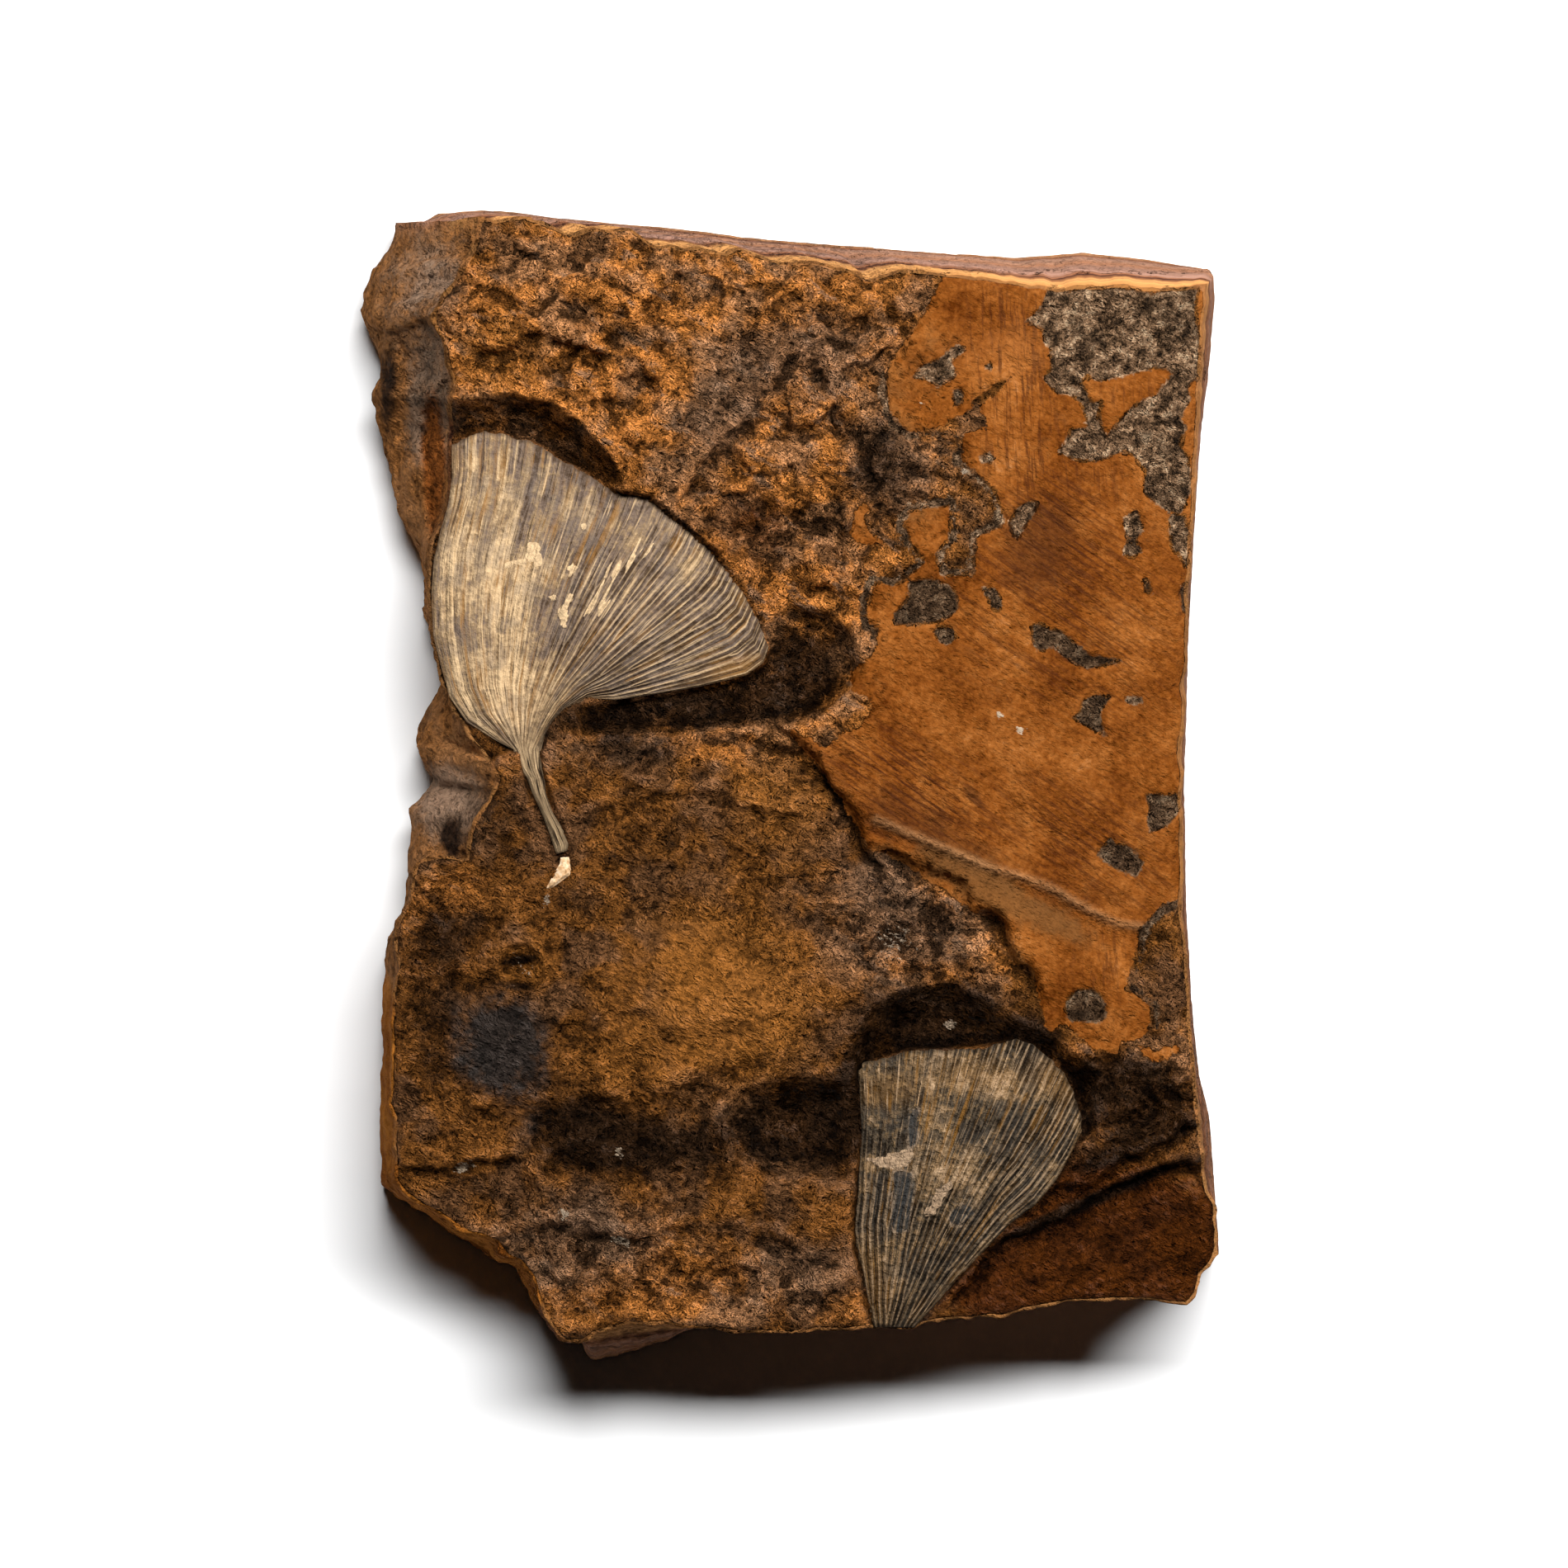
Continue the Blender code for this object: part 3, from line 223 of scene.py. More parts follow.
# A leaf's grid is its columns and the rows of its blade and its stem. hold is how fast the margins' bow
# fades towards its middle, and nicks are the size and depth of the nicks in its outer margin. spacing is the
# distance of the veins at the foot and far from it, and how far that is. ridges is the veins' height, and
# fading the share of it that is lost where they are worn. tilt is the upper side's level and slopes, crown
# its dome's middle, radius and rise, and roll how far the left margin bends down. beyond is the broken edge
# of rock that the margin hangs over. crust, strips and windows are outlines of chips, of chips in strips and
# of dark places. tones are the dark, grey, tan, pale and ochre of the strands. tops is how strong the pale of
# the ridges is, and mottled, from 0 to 1, how far patches take the strands' place.
LARGE_LEAF = {
    "seed": 101,
    "grid": (430, 170, 38),
    "hold": 3,
    "nicks": (1.6, 0.25),
    "spacing": (0.40, 0.80, 16.0),
    "ridges": 0.34,
    "fading": 0.75,
    "tones": ((0.066, 0.039, 0.022), (0.165, 0.114, 0.084), (0.300, 0.196, 0.104), (0.68, 0.465, 0.255),
              (0.29, 0.140, 0.038)),
    "groove": (0.028, 0.016, 0.009),
    "window_tone": (0.13, 0.115, 0.105),
    "crust_tone": (0.72, 0.50, 0.28),
    "tops": 0.62,
    "mottled": 0.0,
    "left": [(-39.4, 5.0), (-42.0, 6.4), (-46.1, 9.0), (-48.6, 12.6), (-49.9, 17.0), (-51.0, 21.6),
             (-51.3, 27.6), (-50.9, 32.6), (-50.0, 36.6), (-48.9, 40.4), (-48.3, 44.4), (-48.3, 49.3)],
    "outer": [(-48.3, 49.3), (-46.2, 50.2), (-43.8, 51.2), (-42.0, 51.0), (-36.6, 49.7), (-32.4, 47.0),
              (-28.2, 44.8), (-24.6, 42.4), (-19.8, 41.5), (-15.6, 38.2), (-10.8, 34.2), (-6.6, 28.8),
              (-3.8, 24.0), (-2.2, 19.8)],
    "right": [(-35.3, 5.0), (-34.8, 7.0), (-33.8, 9.0), (-32.0, 11.0), (-28.2, 12.5), (-24.6, 12.2),
              (-20.4, 12.8), (-12.0, 14.2), (-5.4, 15.8), (-3.0, 17.6), (-2.2, 19.8)],
    "tilt": (-0.5, 0.037, -0.049),
    "crown": (-33.0, 24.0, 18.0, 1.7),
    "stem_left": [(-33.1, -10.2), (-33.5, -9.1), (-34.1, -7.3), (-34.7, -5.8), (-35.4, -4.0), (-36.6, -1.4),
                  (-37.3, 0.7), (-38.5, 2.5), (-39.4, 5.0)],
    "stem_right": [(-31.5, -9.7), (-31.3, -8.6), (-31.8, -7.6), (-32.2, -6.5), (-33.0, -5.2), (-33.7, -4.0),
                   (-34.6, -1.4), (-34.8, 0.7), (-35.2, 2.2), (-35.3, 5.0)],
    "worn": [(-42.0, 30.0, 12.0, 24.0, 0, 1.0), (-30.0, 42.0, 14.0, 9.0, -25, 1.0)],
    "roll": 1.0,
    "rough": 0.5,
    "beyond": [(-40.0, 5.4), (-44.0, 3.0), (-54.0, 8.0), (-60.0, 20.0), (-60.0, 44.0), (-50.0, 50.0),
               (-47.0, 49.6), (-46.0, 30.0), (-44.0, 10.0)],
    "crust": [
        [(-37.5, 34.7), (-36.8, 35.2), (-35.6, 35.2), (-35.3, 34.5), (-35.5, 33.5), (-35.0, 32.0),
         (-35.6, 31.5), (-36.2, 32.3), (-37.2, 32.2), (-37.7, 32.8), (-37.3, 33.8)],
        [(-40.8, 32.0), (-39.3, 32.5), (-37.6, 32.6), (-37.9, 31.8), (-39.2, 31.8), (-40.5, 31.3)],
        [(-31.5, 31.5), (-30.7, 32.2), (-29.8, 31.5), (-30.2, 30.7), (-31.0, 30.2), (-31.5, 29.8),
         (-31.3, 30.7)],
        [(-32.8, 25.2), (-32.0, 26.5), (-31.3, 28.0), (-30.7, 27.5), (-31.2, 26.5), (-31.2, 25.2),
         (-31.7, 22.7), (-32.3, 22.9), (-32.9, 24.5)],
        [(-34.2, 27.2), (-33.6, 27.6), (-33.2, 26.8), (-33.9, 26.4)],
        [(-29.6, 37.6), (-28.8, 38.0), (-28.6, 37.0), (-29.3, 36.4)],
    ],
    "strips": [
        [(-23.0, 35.2), (-21.6, 35.6), (-19.6, 35.2), (-20.4, 33.2), (-22.4, 31.4), (-23.6, 29.2),
         (-24.6, 27.2), (-23.6, 26.2), (-25.2, 24.6), (-26.2, 25.4), (-28.0, 25.0), (-29.4, 24.0),
         (-29.6, 23.4), (-29.0, 25.4), (-27.6, 28.4), (-26.0, 31.4), (-24.6, 34.2)],
    ],
    "windows": [],
    "pale": [(-44.0, 33.0, 8.0, 18.0, 0, 1.0), (-44.0, 14.0, 9.0, 9.0, 0, 1.0),
             (-36.0, 10.0, 5.0, 7.0, 0, 0.4), (-26.0, 39.0, 6.0, 4.0, -25, 0.5)],
    "rusty": [(-6.0, 16.6, 5.0, 2.0, 12, 0.8), (-48.0, 47.0, 1.6, 3.0, 0, 0.4)],
}
SMALL_LEAF = {
    "seed": 202,
    "grid": (380, 190, 0),
    "hold": 3,
    "nicks": (1.6, 0.25),
    "spacing": (0.66, 0.86, 14.0),
    "ridges": 0.32,
    "fading": 0.7,
    "tones": ((0.018, 0.012, 0.007), (0.068, 0.050, 0.032), (0.200, 0.120, 0.054), (0.50, 0.33, 0.19),
              (0.21, 0.094, 0.017)),
    "groove": (0.009, 0.006, 0.004),
    "window_tone": (0.040, 0.042, 0.042),
    "crust_tone": (0.46, 0.31, 0.19),
    "tops": 0.55,
    "mottled": 0.9,
    "left": [(13.1, -79.0), (12.0, -75.0), (10.6, -67.8), (10.1, -64.8), (10.6, -60.0), (11.3, -50.4),
             (10.8, -41.8)],
    "outer": [(10.8, -41.8), (11.5, -40.6), (14.4, -40.0), (18.0, -38.9), (28.8, -38.5), (31.2, -37.8),
              (33.8, -37.0), (36.0, -37.8), (38.4, -39.6), (40.8, -42.2), (42.2, -45.0), (43.2, -48.0),
              (43.3, -50.6)],
    "right": [(19.0, -79.0), (21.6, -76.2), (25.2, -72.0), (28.8, -68.2), (33.0, -63.8), (36.6, -61.2),
              (39.6, -57.6), (41.6, -54.2), (43.3, -50.6)],
    "tilt": (-4.4, -0.004, -0.012),
    "crown": (27.0, -54.0, 15.0, 2.0),
    "worn": [(15.5, -46.5, 7.0, 9.0, 0, 1.0), (26.0, -47.0, 9.0, 7.0, 0, 0.7),
             (20.0, -58.0, 7.0, 7.0, 0, 0.5)],
    "roll": 0.5,
    "rough": 1.1,
    "beyond": [],
    "crust": [
        seen((1048, 1404), (1066, 1402), (1078, 1398), (1104, 1392), (1108, 1398), (1101, 1412), (1088, 1418),
             (1078, 1416), (1062, 1412)),
        seen((1134, 1441), (1152, 1430), (1156, 1435), (1146, 1447), (1141, 1463), (1132, 1472), (1121, 1476),
             (1120, 1469), (1128, 1460)),
    ],
    "windows": [
        seen((1081, 1420), (1090, 1417), (1105, 1420), (1111, 1433), (1107, 1450), (1104, 1472), (1101, 1490),
             (1092, 1497), (1083, 1493), (1078, 1483), (1080, 1461), (1082, 1441)),
        seen((1148, 1475), (1155, 1464), (1166, 1457), (1177, 1461), (1183, 1469), (1174, 1481), (1163, 1486),
             (1152, 1484)),
        seen((1102, 1345), (1113, 1340), (1116, 1360), (1110, 1388), (1101, 1392), (1099, 1368)),
    ],
    "strips": [],
    "pale": [(17.0, -72.0, 6.0, 7.0, 0, 0.2), (28.0, -58.0, 7.0, 7.0, 0, 0.4),
             (26.0, -43.5, 12.0, 4.0, 0, 0.5)],
    "rusty": [(40.0, -43.0, 4.0, 3.0, -40, 0.6), (13.0, -72.0, 2.0, 6.0, 10, 0.5),
              (15.0, -44.5, 5.0, 2.5, 10, 0.4), (29.0, -42.5, 7.0, 2.5, -8, 0.4)],
}
STEM_LINE = [(-37.3, 8.0), (-36.9, 4.0), (-36.2, 0.6), (-34.8, -3.6), (-33.4, -7.2), (-32.3, -9.9)]
FLAKE = {
    "seed": 71,
    "grid": (28, 43, 0),
    "hold": 1,
    "nicks": (0.8, 0.12),
    "left": [(-34.6, -15.2), (-33.4, -12.9), (-32.6, -11.6), (-32.5, -10.7)],
    "outer": [(-32.5, -10.7), (-31.3, -10.6)],
    "right": [(-34.2, -15.4), (-32.6, -14.3), (-31.1, -13.2), (-30.9, -11.9), (-31.3, -10.6)],
    "tilt": (-1.0, 0.0, 0.0),
    "crown": (-32.5, -13.0, 3.0, 0.7),
    "roll": 0.0,
    "beyond": [],
}
STEM_TOP = (-1.5, 0.0, -0.04)
STEM_ROUNDING = 0.7
STEM_HALF_WIDTH = 1.2
ROLL_WIDTH = 3.5
SEAM_WIDTH = 1.2
SPREAD = 45.0  # the width over which a leaf's strands are counted

# The smooth orange skin on the right of the face
SKIN = seen((1145, 330), (1122, 378), (1078, 440), (1071, 475), (1083, 512), (1102, 524), (1115, 524),
         (1140, 518), (1178, 495), (1179, 484), (1228, 455), (1187, 492), (1196, 516), (1167, 526),
         (1167, 547), (1161, 556), (1208, 594), (1217, 636), (1184, 650), (1180, 697), (1143, 697),
         (1133, 671), (1152, 650), (1152, 609), (1105, 618), (1093, 633), (1105, 662), (1121, 681),
         (1093, 706), (1083, 710), (1061, 705), (1048, 727), (1052, 756), (1065, 762), (1061, 782),
         (1055, 797), (1035, 809), (1029, 823), (1035, 838), (1058, 848), (1058, 858), (1042, 880),
         (1018, 888), (1000, 905), (960, 884), (953, 886), (1000, 939), (1053, 1030), (1086, 1041),
         (1182, 1107), (1193, 1101), (1207, 1107), (1218, 1121), (1222, 1140), (1254, 1182), (1266, 1243),
         (1275, 1250), (1287, 1242), (1298, 1246), (1321, 1269), (1352, 1278), (1358, 1264), (1386, 1258),
         (1396, 1240), (1395, 1221), (1380, 1206), (1364, 1200), (1387, 1122), (1407, 1100), (1450, 1080),
         (1460, 600), (1480, 330))
SKIN_FRAGMENTS = [
    seen((1316, 455), (1311, 462), (1322, 488), (1335, 486), (1331, 506), (1340, 530), (1375, 490),
         (1401, 480), (1422, 453), (1413, 447), (1398, 446), (1331, 462)),
    seen((1038, 612), (1050, 608), (1056, 618), (1048, 628), (1050, 640), (1070, 658), (1055, 661),
         (1035, 657), (1030, 645)),
    seen((1374, 1262), (1385, 1279), (1398, 1286), (1419, 1283), (1435, 1271), (1422, 1266), (1402, 1273)),
]
# Grey crystalline patches, broken a little into the rock
GRIT = [
    seen((1272, 345), (1260, 377), (1243, 389), (1263, 399), (1265, 415), (1272, 421), (1274, 447),
         (1264, 459), (1281, 477), (1293, 477), (1310, 488), (1319, 518), (1296, 521), (1291, 538),
         (1281, 547), (1307, 559), (1328, 559), (1360, 547), (1372, 550), (1388, 571), (1386, 598),
         (1413, 618), (1431, 623), (1445, 588), (1439, 553), (1431, 541), (1436, 518), (1428, 506),
         (1442, 486), (1439, 471), (1445, 459), (1460, 459), (1463, 441), (1454, 418), (1448, 365),
         (1453, 350), (1413, 348), (1401, 356), (1343, 346), (1296, 353)),
    seen((1117, 444), (1140, 434), (1161, 418), (1172, 422), (1152, 438), (1159, 456), (1137, 468),
         (1122, 459), (1105, 458)),
    seen((1155, 473), (1162, 471), (1167, 478), (1165, 489), (1158, 492)),
    seen((1193, 444), (1199, 440), (1203, 445), (1198, 449)),
    seen((1187, 553), (1197, 549), (1206, 554), (1201, 560), (1190, 560)),
    seen((1102, 705), (1131, 702), (1146, 709), (1159, 718), (1161, 738), (1146, 750), (1123, 756),
         (1083, 756), (1085, 744), (1102, 721)),
    seen((1131, 764), (1140, 758), (1155, 763), (1159, 772), (1150, 781), (1140, 779)),
    seen((1189, 711), (1205, 713), (1213, 724), (1214, 738), (1206, 743)),
    seen((1222, 634), (1231, 618), (1246, 608), (1256, 608), (1255, 618), (1231, 655)),
    seen((1250, 757), (1262, 755), (1272, 763), (1284, 764), (1322, 796), (1359, 799), (1358, 803),
         (1316, 810), (1288, 795), (1276, 781), (1262, 790), (1252, 781)),
    seen((1299, 870), (1308, 863), (1312, 850), (1326, 843), (1347, 843), (1332, 864), (1338, 892)),
    seen((1361, 845), (1387, 846), (1378, 854), (1366, 852)),
    seen((1388, 961), (1412, 965), (1425, 962), (1431, 975), (1424, 990), (1410, 1003), (1395, 1008),
         (1390, 995), (1393, 980)),
    seen((1330, 1035), (1345, 1015), (1352, 1025), (1362, 1022), (1385, 1045), (1378, 1062), (1350, 1052)),
    seen((1417, 625), (1436, 625), (1442, 650), (1441, 692), (1418, 660)),
    seen((1386, 703), (1392, 702), (1396, 722), (1389, 718)),
    seen((1431, 710), (1442, 706), (1442, 746), (1433, 740)),
    seen((1361, 628), (1378, 618), (1384, 640), (1376, 655), (1384, 668), (1372, 676), (1360, 672),
         (1366, 655)),
    seen((1292, 1212), (1306, 1200), (1324, 1199), (1334, 1206), (1340, 1221), (1337, 1237), (1297, 1237),
         (1291, 1225)),
    seen((1380, 1128), (1407, 1098), (1436, 1087), (1450, 1090), (1450, 1262), (1402, 1258), (1397, 1222),
         (1382, 1206), (1367, 1199), (1380, 1157)),
    seen((1160, 525), (1165, 560), (1195, 586), (1212, 612), (1216, 636), (1180, 650), (1178, 697),
         (1140, 697), (1135, 670), (1150, 655), (1152, 612), (1104, 617), (1094, 633), (1106, 662),
         (1120, 681), (1083, 710), (1060, 703), (1049, 740), (1052, 756), (1064, 765), (1050, 790),
         (1020, 806), (1008, 790), (1003, 750), (1018, 705), (1034, 690), (1024, 662), (1008, 640),
         (1000, 606), (985, 580), (992, 556), (1038, 500), (1030, 440), (1048, 430), (1072, 452),
         (1077, 500), (1100, 525)),
]
GRIT_DEPTH = 0.5

# Smoother broken facets in the rough rock
PANES = [
    seen((820, 388), (880, 372), (942, 380), (952, 430), (934, 476), (884, 540), (822, 602), (786, 566),
         (800, 480)),
    seen((1040, 1020), (1078, 1034), (1082, 1080), (1060, 1100), (1030, 1092), (1010, 1070)),
    seen((1100, 1610), (1200, 1535), (1250, 1508), (1310, 1474), (1370, 1448), (1455, 1418), (1490, 1500),
         (1480, 1590), (1300, 1600)),
    seen((545, 1215), (600, 1190), (650, 1215), (672, 1270), (660, 1335), (640, 1390), (600, 1350),
         (545, 1290)),
    seen((740, 1130), (860, 1110), (940, 1180), (930, 1270), (820, 1300), (730, 1240)),
]

# Where the broken rock is hackly, rather than sandy: x, y, half-length, half-width, turn in degrees, strength
HACKLY = [
    (-25.0, 64.0, 36.0, 20.0, 0, 1.0), (5.0, 50.0, 24.0, 30.0, 0, 1.0), (2.0, 26.0, 12.0, 22.0, 0, 1.0),
    (20.0, -22.0, 15.0, 13.0, -30, 1.0), (50.0, -44.0, 15.0, 10.0, 0, 0.9),
    (-30.0, -70.0, 28.0, 10.0, 0, 0.7), (0.0, -74.0, 26.0, 6.0, 0, 0.6), (-50.0, -20.0, 9.0, 12.0, 0, 0.6),
    (-8.0, 8.0, 24.0, 6.0, 0, 0.8), (-2.0, -50.0, 11.0, 9.0, 0, 0.7), (-24.0, -50.0, 14.0, 8.0, 0, 0.3),
]
# Pale flecks and chips
FLECKS = [
    (-46.6, -55.7, 1.8, 0.9, 10, 1.0), (-24.0, -53.5, 0.9, 1.0, 0, 1.0), (-32.0, -62.6, 0.8, 1.1, 20, 1.0),
    (-23.8, -66.4, 1.8, 0.9, -10, 1.0), (24.2, -35.0, 1.0, 1.1, 0, 1.0), (31.2, 10.0, 0.8, 0.8, 0, 0.9),
    (34.3, 7.8, 0.8, 0.8, 0, 0.9), (16.2, -22.8, 4.0, 4.0, 0, 0.55),
    (-38.2, -26.6, 3.0, 3.2, 0, 0.42), (26.2, 45.6, 0.7, 0.7, 0, 0.9), (20.4, 55.2, 0.7, 0.7, 0, 0.9),
    (-34.6, -17.0, 0.6, 1.2, -20, 1.0),
]
# Orange on the broken edge at the near left corner
BEVEL = [
    (-50.0, -62.0, 11.0, 4.0, -32, 1.0), (-38.5, -72.0, 5.0, 10.0, -25, 1.0),
    (-58.4, -42.0, 2.4, 17.0, 0, 0.9),
]

# Soft stains: x, y, half-length, half-width, turn in degrees, strength
# The dark list holds dark staining and painted shade: in the hollows and the shell's slits, along the grooves
# and the crease, the ledge shadow over the small leaf, the shadow band under the large leaf's lower margin
# and the unlit facet under the front rim.
DARK_STAINS_AND_SHADE = [
    (-38.4, -25.6, 2.8, 0.6, 10, 1.0), (-38.4, -29.4, 2.6, 0.6, -8, 0.8),
    (-57.5, 57.5, 1.4, 7.0, 0, 0.8), (-54.0, 12.0, 3.0, 4.0, 0, 0.5), (-48.5, -8.0, 1.6, 3.0, 0, 0.9),
    (-41.0, -38.0, 8.0, 9.0, 20, 0.9), (-25.8, -52.2, 12.0, 5.5, 0, 1.0), (2.8, 16.6, 6.0, 7.0, 0, 1.0),
    (-21.0, 5.5, 9.0, 3.4, 4, 0.6), (-9.0, 10.6, 10.0, 2.4, 8, 0.9),
    (21.6, -33.6, 13.0, 6.0, 0, 1.0), (11.0, -47.0, 2.4, 8.0, 0, 0.9), (0.6, -51.0, 10.0, 5.4, 0, 0.6),
    (14.0, 46.0, 7.0, 9.0, 0, 0.5), (18.0, -19.0, 10.0, 6.0, -20, 0.3), (-52.0, -30.0, 5.0, 16.0, 0, 0.5),
    (6.0, 37.0, 7.0, 7.0, 0, 0.4), (-42.0, -6.0, 6.0, 7.0, 0, 0.5), (-31.0, -47.0, 7.0, 5.0, 0, 0.5),
    (-9.6, -53.0, 7.0, 7.0, 0, 0.6), (8.2, -2.0, 6.5, 1.3, -58, 0.8), (-12.0, 11.5, 17.0, 2.2, 8, 0.8),
    (50.0, -45.5, 11.0, 8.0, 0, 0.85), (36.0, -37.0, 6.0, 4.0, 0, 0.8), (44.5, -60.6, 17.0, 1.1, 24, 1.0),
    (10.5, -44.0, 3.0, 8.0, 0, 0.9), (-28.0, -83.0, 8.0, 3.4, 0, 1.0), (-46.0, -58.5, 8.0, 2.0, -15, 0.4),
    (-4.0, 14.0, 7.0, 5.0, 30, 0.7), (-18.0, -9.0, 9.0, 7.0, 0, 0.35), (-47.0, -22.0, 8.0, 6.0, 0, 0.5),
    (3.0, -49.0, 9.0, 7.0, 0, 0.9), (-27.0, 9.5, 8.0, 3.0, 0, 0.6), (52.0, -52.0, 12.0, 2.2, 22, 0.7),
    (44.0, -44.0, 10.0, 5.0, 0, 0.5),
]
OCHRE = [
    (-7.2, -31.8, 13.0, 14.0, 0, 1.0), (-22.8, -40.8, 8.0, 6.0, 0, 0.5), (-15.6, -3.0, 14.0, 8.0, 0, 0.2),
    (-39.6, 62.0, 10.0, 7.0, 0, 0.6), (0.0, -2.0, 8.0, 10.0, 0, 0.6), (-16.0, -18.0, 12.0, 8.0, 0, 0.3),
    (32.0, 63.0, 8.0, 6.0, 0, 0.4), (-38.0, -26.4, 3.6, 3.2, 0, 0.9),
]
GREY = [
    (16.0, 46.0, 9.0, 9.0, 0, 0.7), (-31.0, -68.0, 12.0, 8.0, 0, 0.5),
    (-51.6, 55.0, 3.4, 10.0, 0, 1.0), (28.5, -14.4, 10.0, 2.8, -30, 0.9), (39.0, -20.0, 8.0, 2.4, -25, 0.6),
    (-8.4, 55.2, 6.0, 13.0, -30, 0.8), (-52.0, 72.0, 7.0, 9.0, 0, 0.55), (16.0, -20.0, 12.0, 8.0, -20, 0.9),
    (-49.0, -3.0, 6.0, 6.0, 0, 0.9), (-30.0, -66.0, 14.0, 8.0, 0, 0.5), (0.0, -72.0, 16.0, 7.0, 0, 0.5),
    (6.0, 62.0, 14.0, 8.0, 0, 0.7), (14.0, -14.0, 4.0, 5.0, 0, 0.9), (-24.0, 5.0, 14.0, 3.0, 8, 0.5),
]
DEEP_RED = [
    (-51.0, 47.0, 1.8, 10.0, 0, 1.0),
    (52.0, -66.0, 22.0, 12.0, -15, 1.0), (35.0, -73.0, 14.0, 7.0, 10, 0.9), (27.6, -1.8, 2.6, 0.7, -50, 1.0),
    (37.0, 35.0, 6.0, 8.0, -40, 0.8), (34.0, -14.0, 18.0, 4.0, -25, 0.3), (-5.0, 37.0, 8.0, 8.0, 0, 0.5),
    (20.0, -6.0, 12.0, 5.0, -32, 0.6),
]
# Where the skin has red-brown streaks that run up and down, and ones that run aslant
UPRIGHT_STREAKS = [
    (33.0, 62.0, 8.0, 14.0, 0, 1.0), (36.0, 47.0, 7.0, 7.0, 0, 0.8), (47.0, -26.0, 6.0, 6.0, 0, 0.7),
    (46.0, 44.0, 5.0, 4.0, 0, 0.6), (50.0, 57.0, 5.0, 3.0, 0, 0.7),
]
SLANT_STREAKS = [
    (40.0, 26.0, 20.0, 16.0, -33, 0.8), (18.0, -1.0, 16.0, 8.0, -33, 1.0), (44.0, -8.0, 16.0, 8.0, -33, 0.8),
    (40.0, 37.0, 7.0, 8.0, 0, 1.0),
]
# The spots of each marked region; the dark ones include painted shade.
SPOT_LISTS = {"hackly": HACKLY, "fleck": FLECKS, "bevel": BEVEL, "dark": DARK_STAINS_AND_SHADE, "ochre": OCHRE, "grey": GREY,
          "deep_red": DEEP_RED, "upright": UPRIGHT_STREAKS, "slant": SLANT_STREAKS}

# How the marked regions' edges are frayed: by fine and by wide noise, and where an edge starts and ends
REGIONS = {
    "skin": (2.2, 1.0, -0.10, 0.14),
    "grit": (2.2, 1.0, -0.15, 0.25),
    "dark": (0.7, 0.9, 0.10, 0.80),
    "ochre": (0.5, 0.9, 0.05, 0.85),
    "grey": (0.7, 1.1, 0.10, 0.80),
    "deep_red": (0.5, 0.8, 0.10, 0.75),
    "side": (0.4, 0.3, 0.40, 0.60),
    "left": (0.3, 0.6, 0.3, 0.7),
    "back": (0.1, 0.2, 0.4, 0.6),
    "hackly": (0.3, 0.9, 0.15, 0.85),
    "bevel": (0.3, 0.2, 0.3, 0.6),
}
# A tone's shades from pit to crest, partly painted shade in the pits and painted light with a little grey
# glint on the crests: a factor for it, and what is added
SHADES = ((0.20, 0.0), (0.58, 0.0), (1.05, 0.0), (1.52, 0.0), (2.05, 0.012))
# The beds of the sides, from the base up
BEDS = (
    (0.00, (0.40, 0.18, 0.075)), (0.26, (0.46, 0.215, 0.095)), (0.32, (0.22, 0.078, 0.036)),
    (0.40, (0.40, 0.215, 0.140)), (0.48, (0.42, 0.185, 0.095)), (0.56, (0.33, 0.175, 0.120)),
    (0.62, (0.44, 0.235, 0.165)), (0.685, (0.34, 0.130, 0.058)), (0.705, (0.050, 0.018, 0.014)),
    (0.73, (0.26, 0.100, 0.040)), (0.78, (0.78, 0.370, 0.122)), (0.95, (0.58, 0.240, 0.062)),
)

# The studio, in metres and watts
TABLE_SIZE = 6.0
LIGHT_SIZE = (0.64, 0.20)
LIGHT_POWER = 13.2
LIGHT_PLACE = (0.195, 0.340, 0.645)
SKY_STRENGTH = 0.003
SENSOR_WIDTH = 36.0  # in millimetres


def scatter(i, j, seed):
    """A repeatable random number from 0 to 1 for each whole-number place."""
    n = i.astype(np.int64) * 374761393 + j.astype(np.int64) * 668265263 + seed * 1442695041
    n &= 0xFFFFFFFF
    n = (n ^ (n >> 13)) * 1274126177 & 0xFFFFFFFF
    return ((n ^ (n >> 16)) & 0xFFFF) / 65535.0


def smooth_step(t):
    t = np.clip(t, 0.0, 1.0)
    return t * t * (3.0 - 2.0 * t)


def lumps(x, y, size, seed):
    """Rounded unevenness of about this size, between -1 and 1."""
    x, y = x / size, y / size
    i, j = np.floor(x), np.floor(y)
    total = np.zeros(np.shape(x))
    for di in (0, 1):
        for dj in (0, 1):
            turn = 2 * np.pi * scatter(i + di, j + dj, seed)
            ox, oy = x - i - di, y - j - dj
            weight = smooth_step(1 - np.abs(ox)) * smooth_step(1 - np.abs(oy))
            total += weight * (np.cos(turn) * ox + np.sin(turn) * oy)
    return 1.5 * total


def scallops(x, y, size, seed):
    """Shell-like chips of about this size that meet in sharp ridges, from 0 in a chip to 1 on a ridge."""
    x, y = x / size, y / size
    i, j = np.floor(x), np.floor(y)
    nearest = np.ones(np.shape(x))
    for di in (-1, 0, 1):
        for dj in (-1, 0, 1):
            cx = i + di + scatter(i + di, j + dj, seed)
            cy = j + dj + scatter(i + di, j + dj, seed + 1)
            nearest = np.minimum(nearest, (x - cx) ** 2 + (y - cy) ** 2)
    return nearest


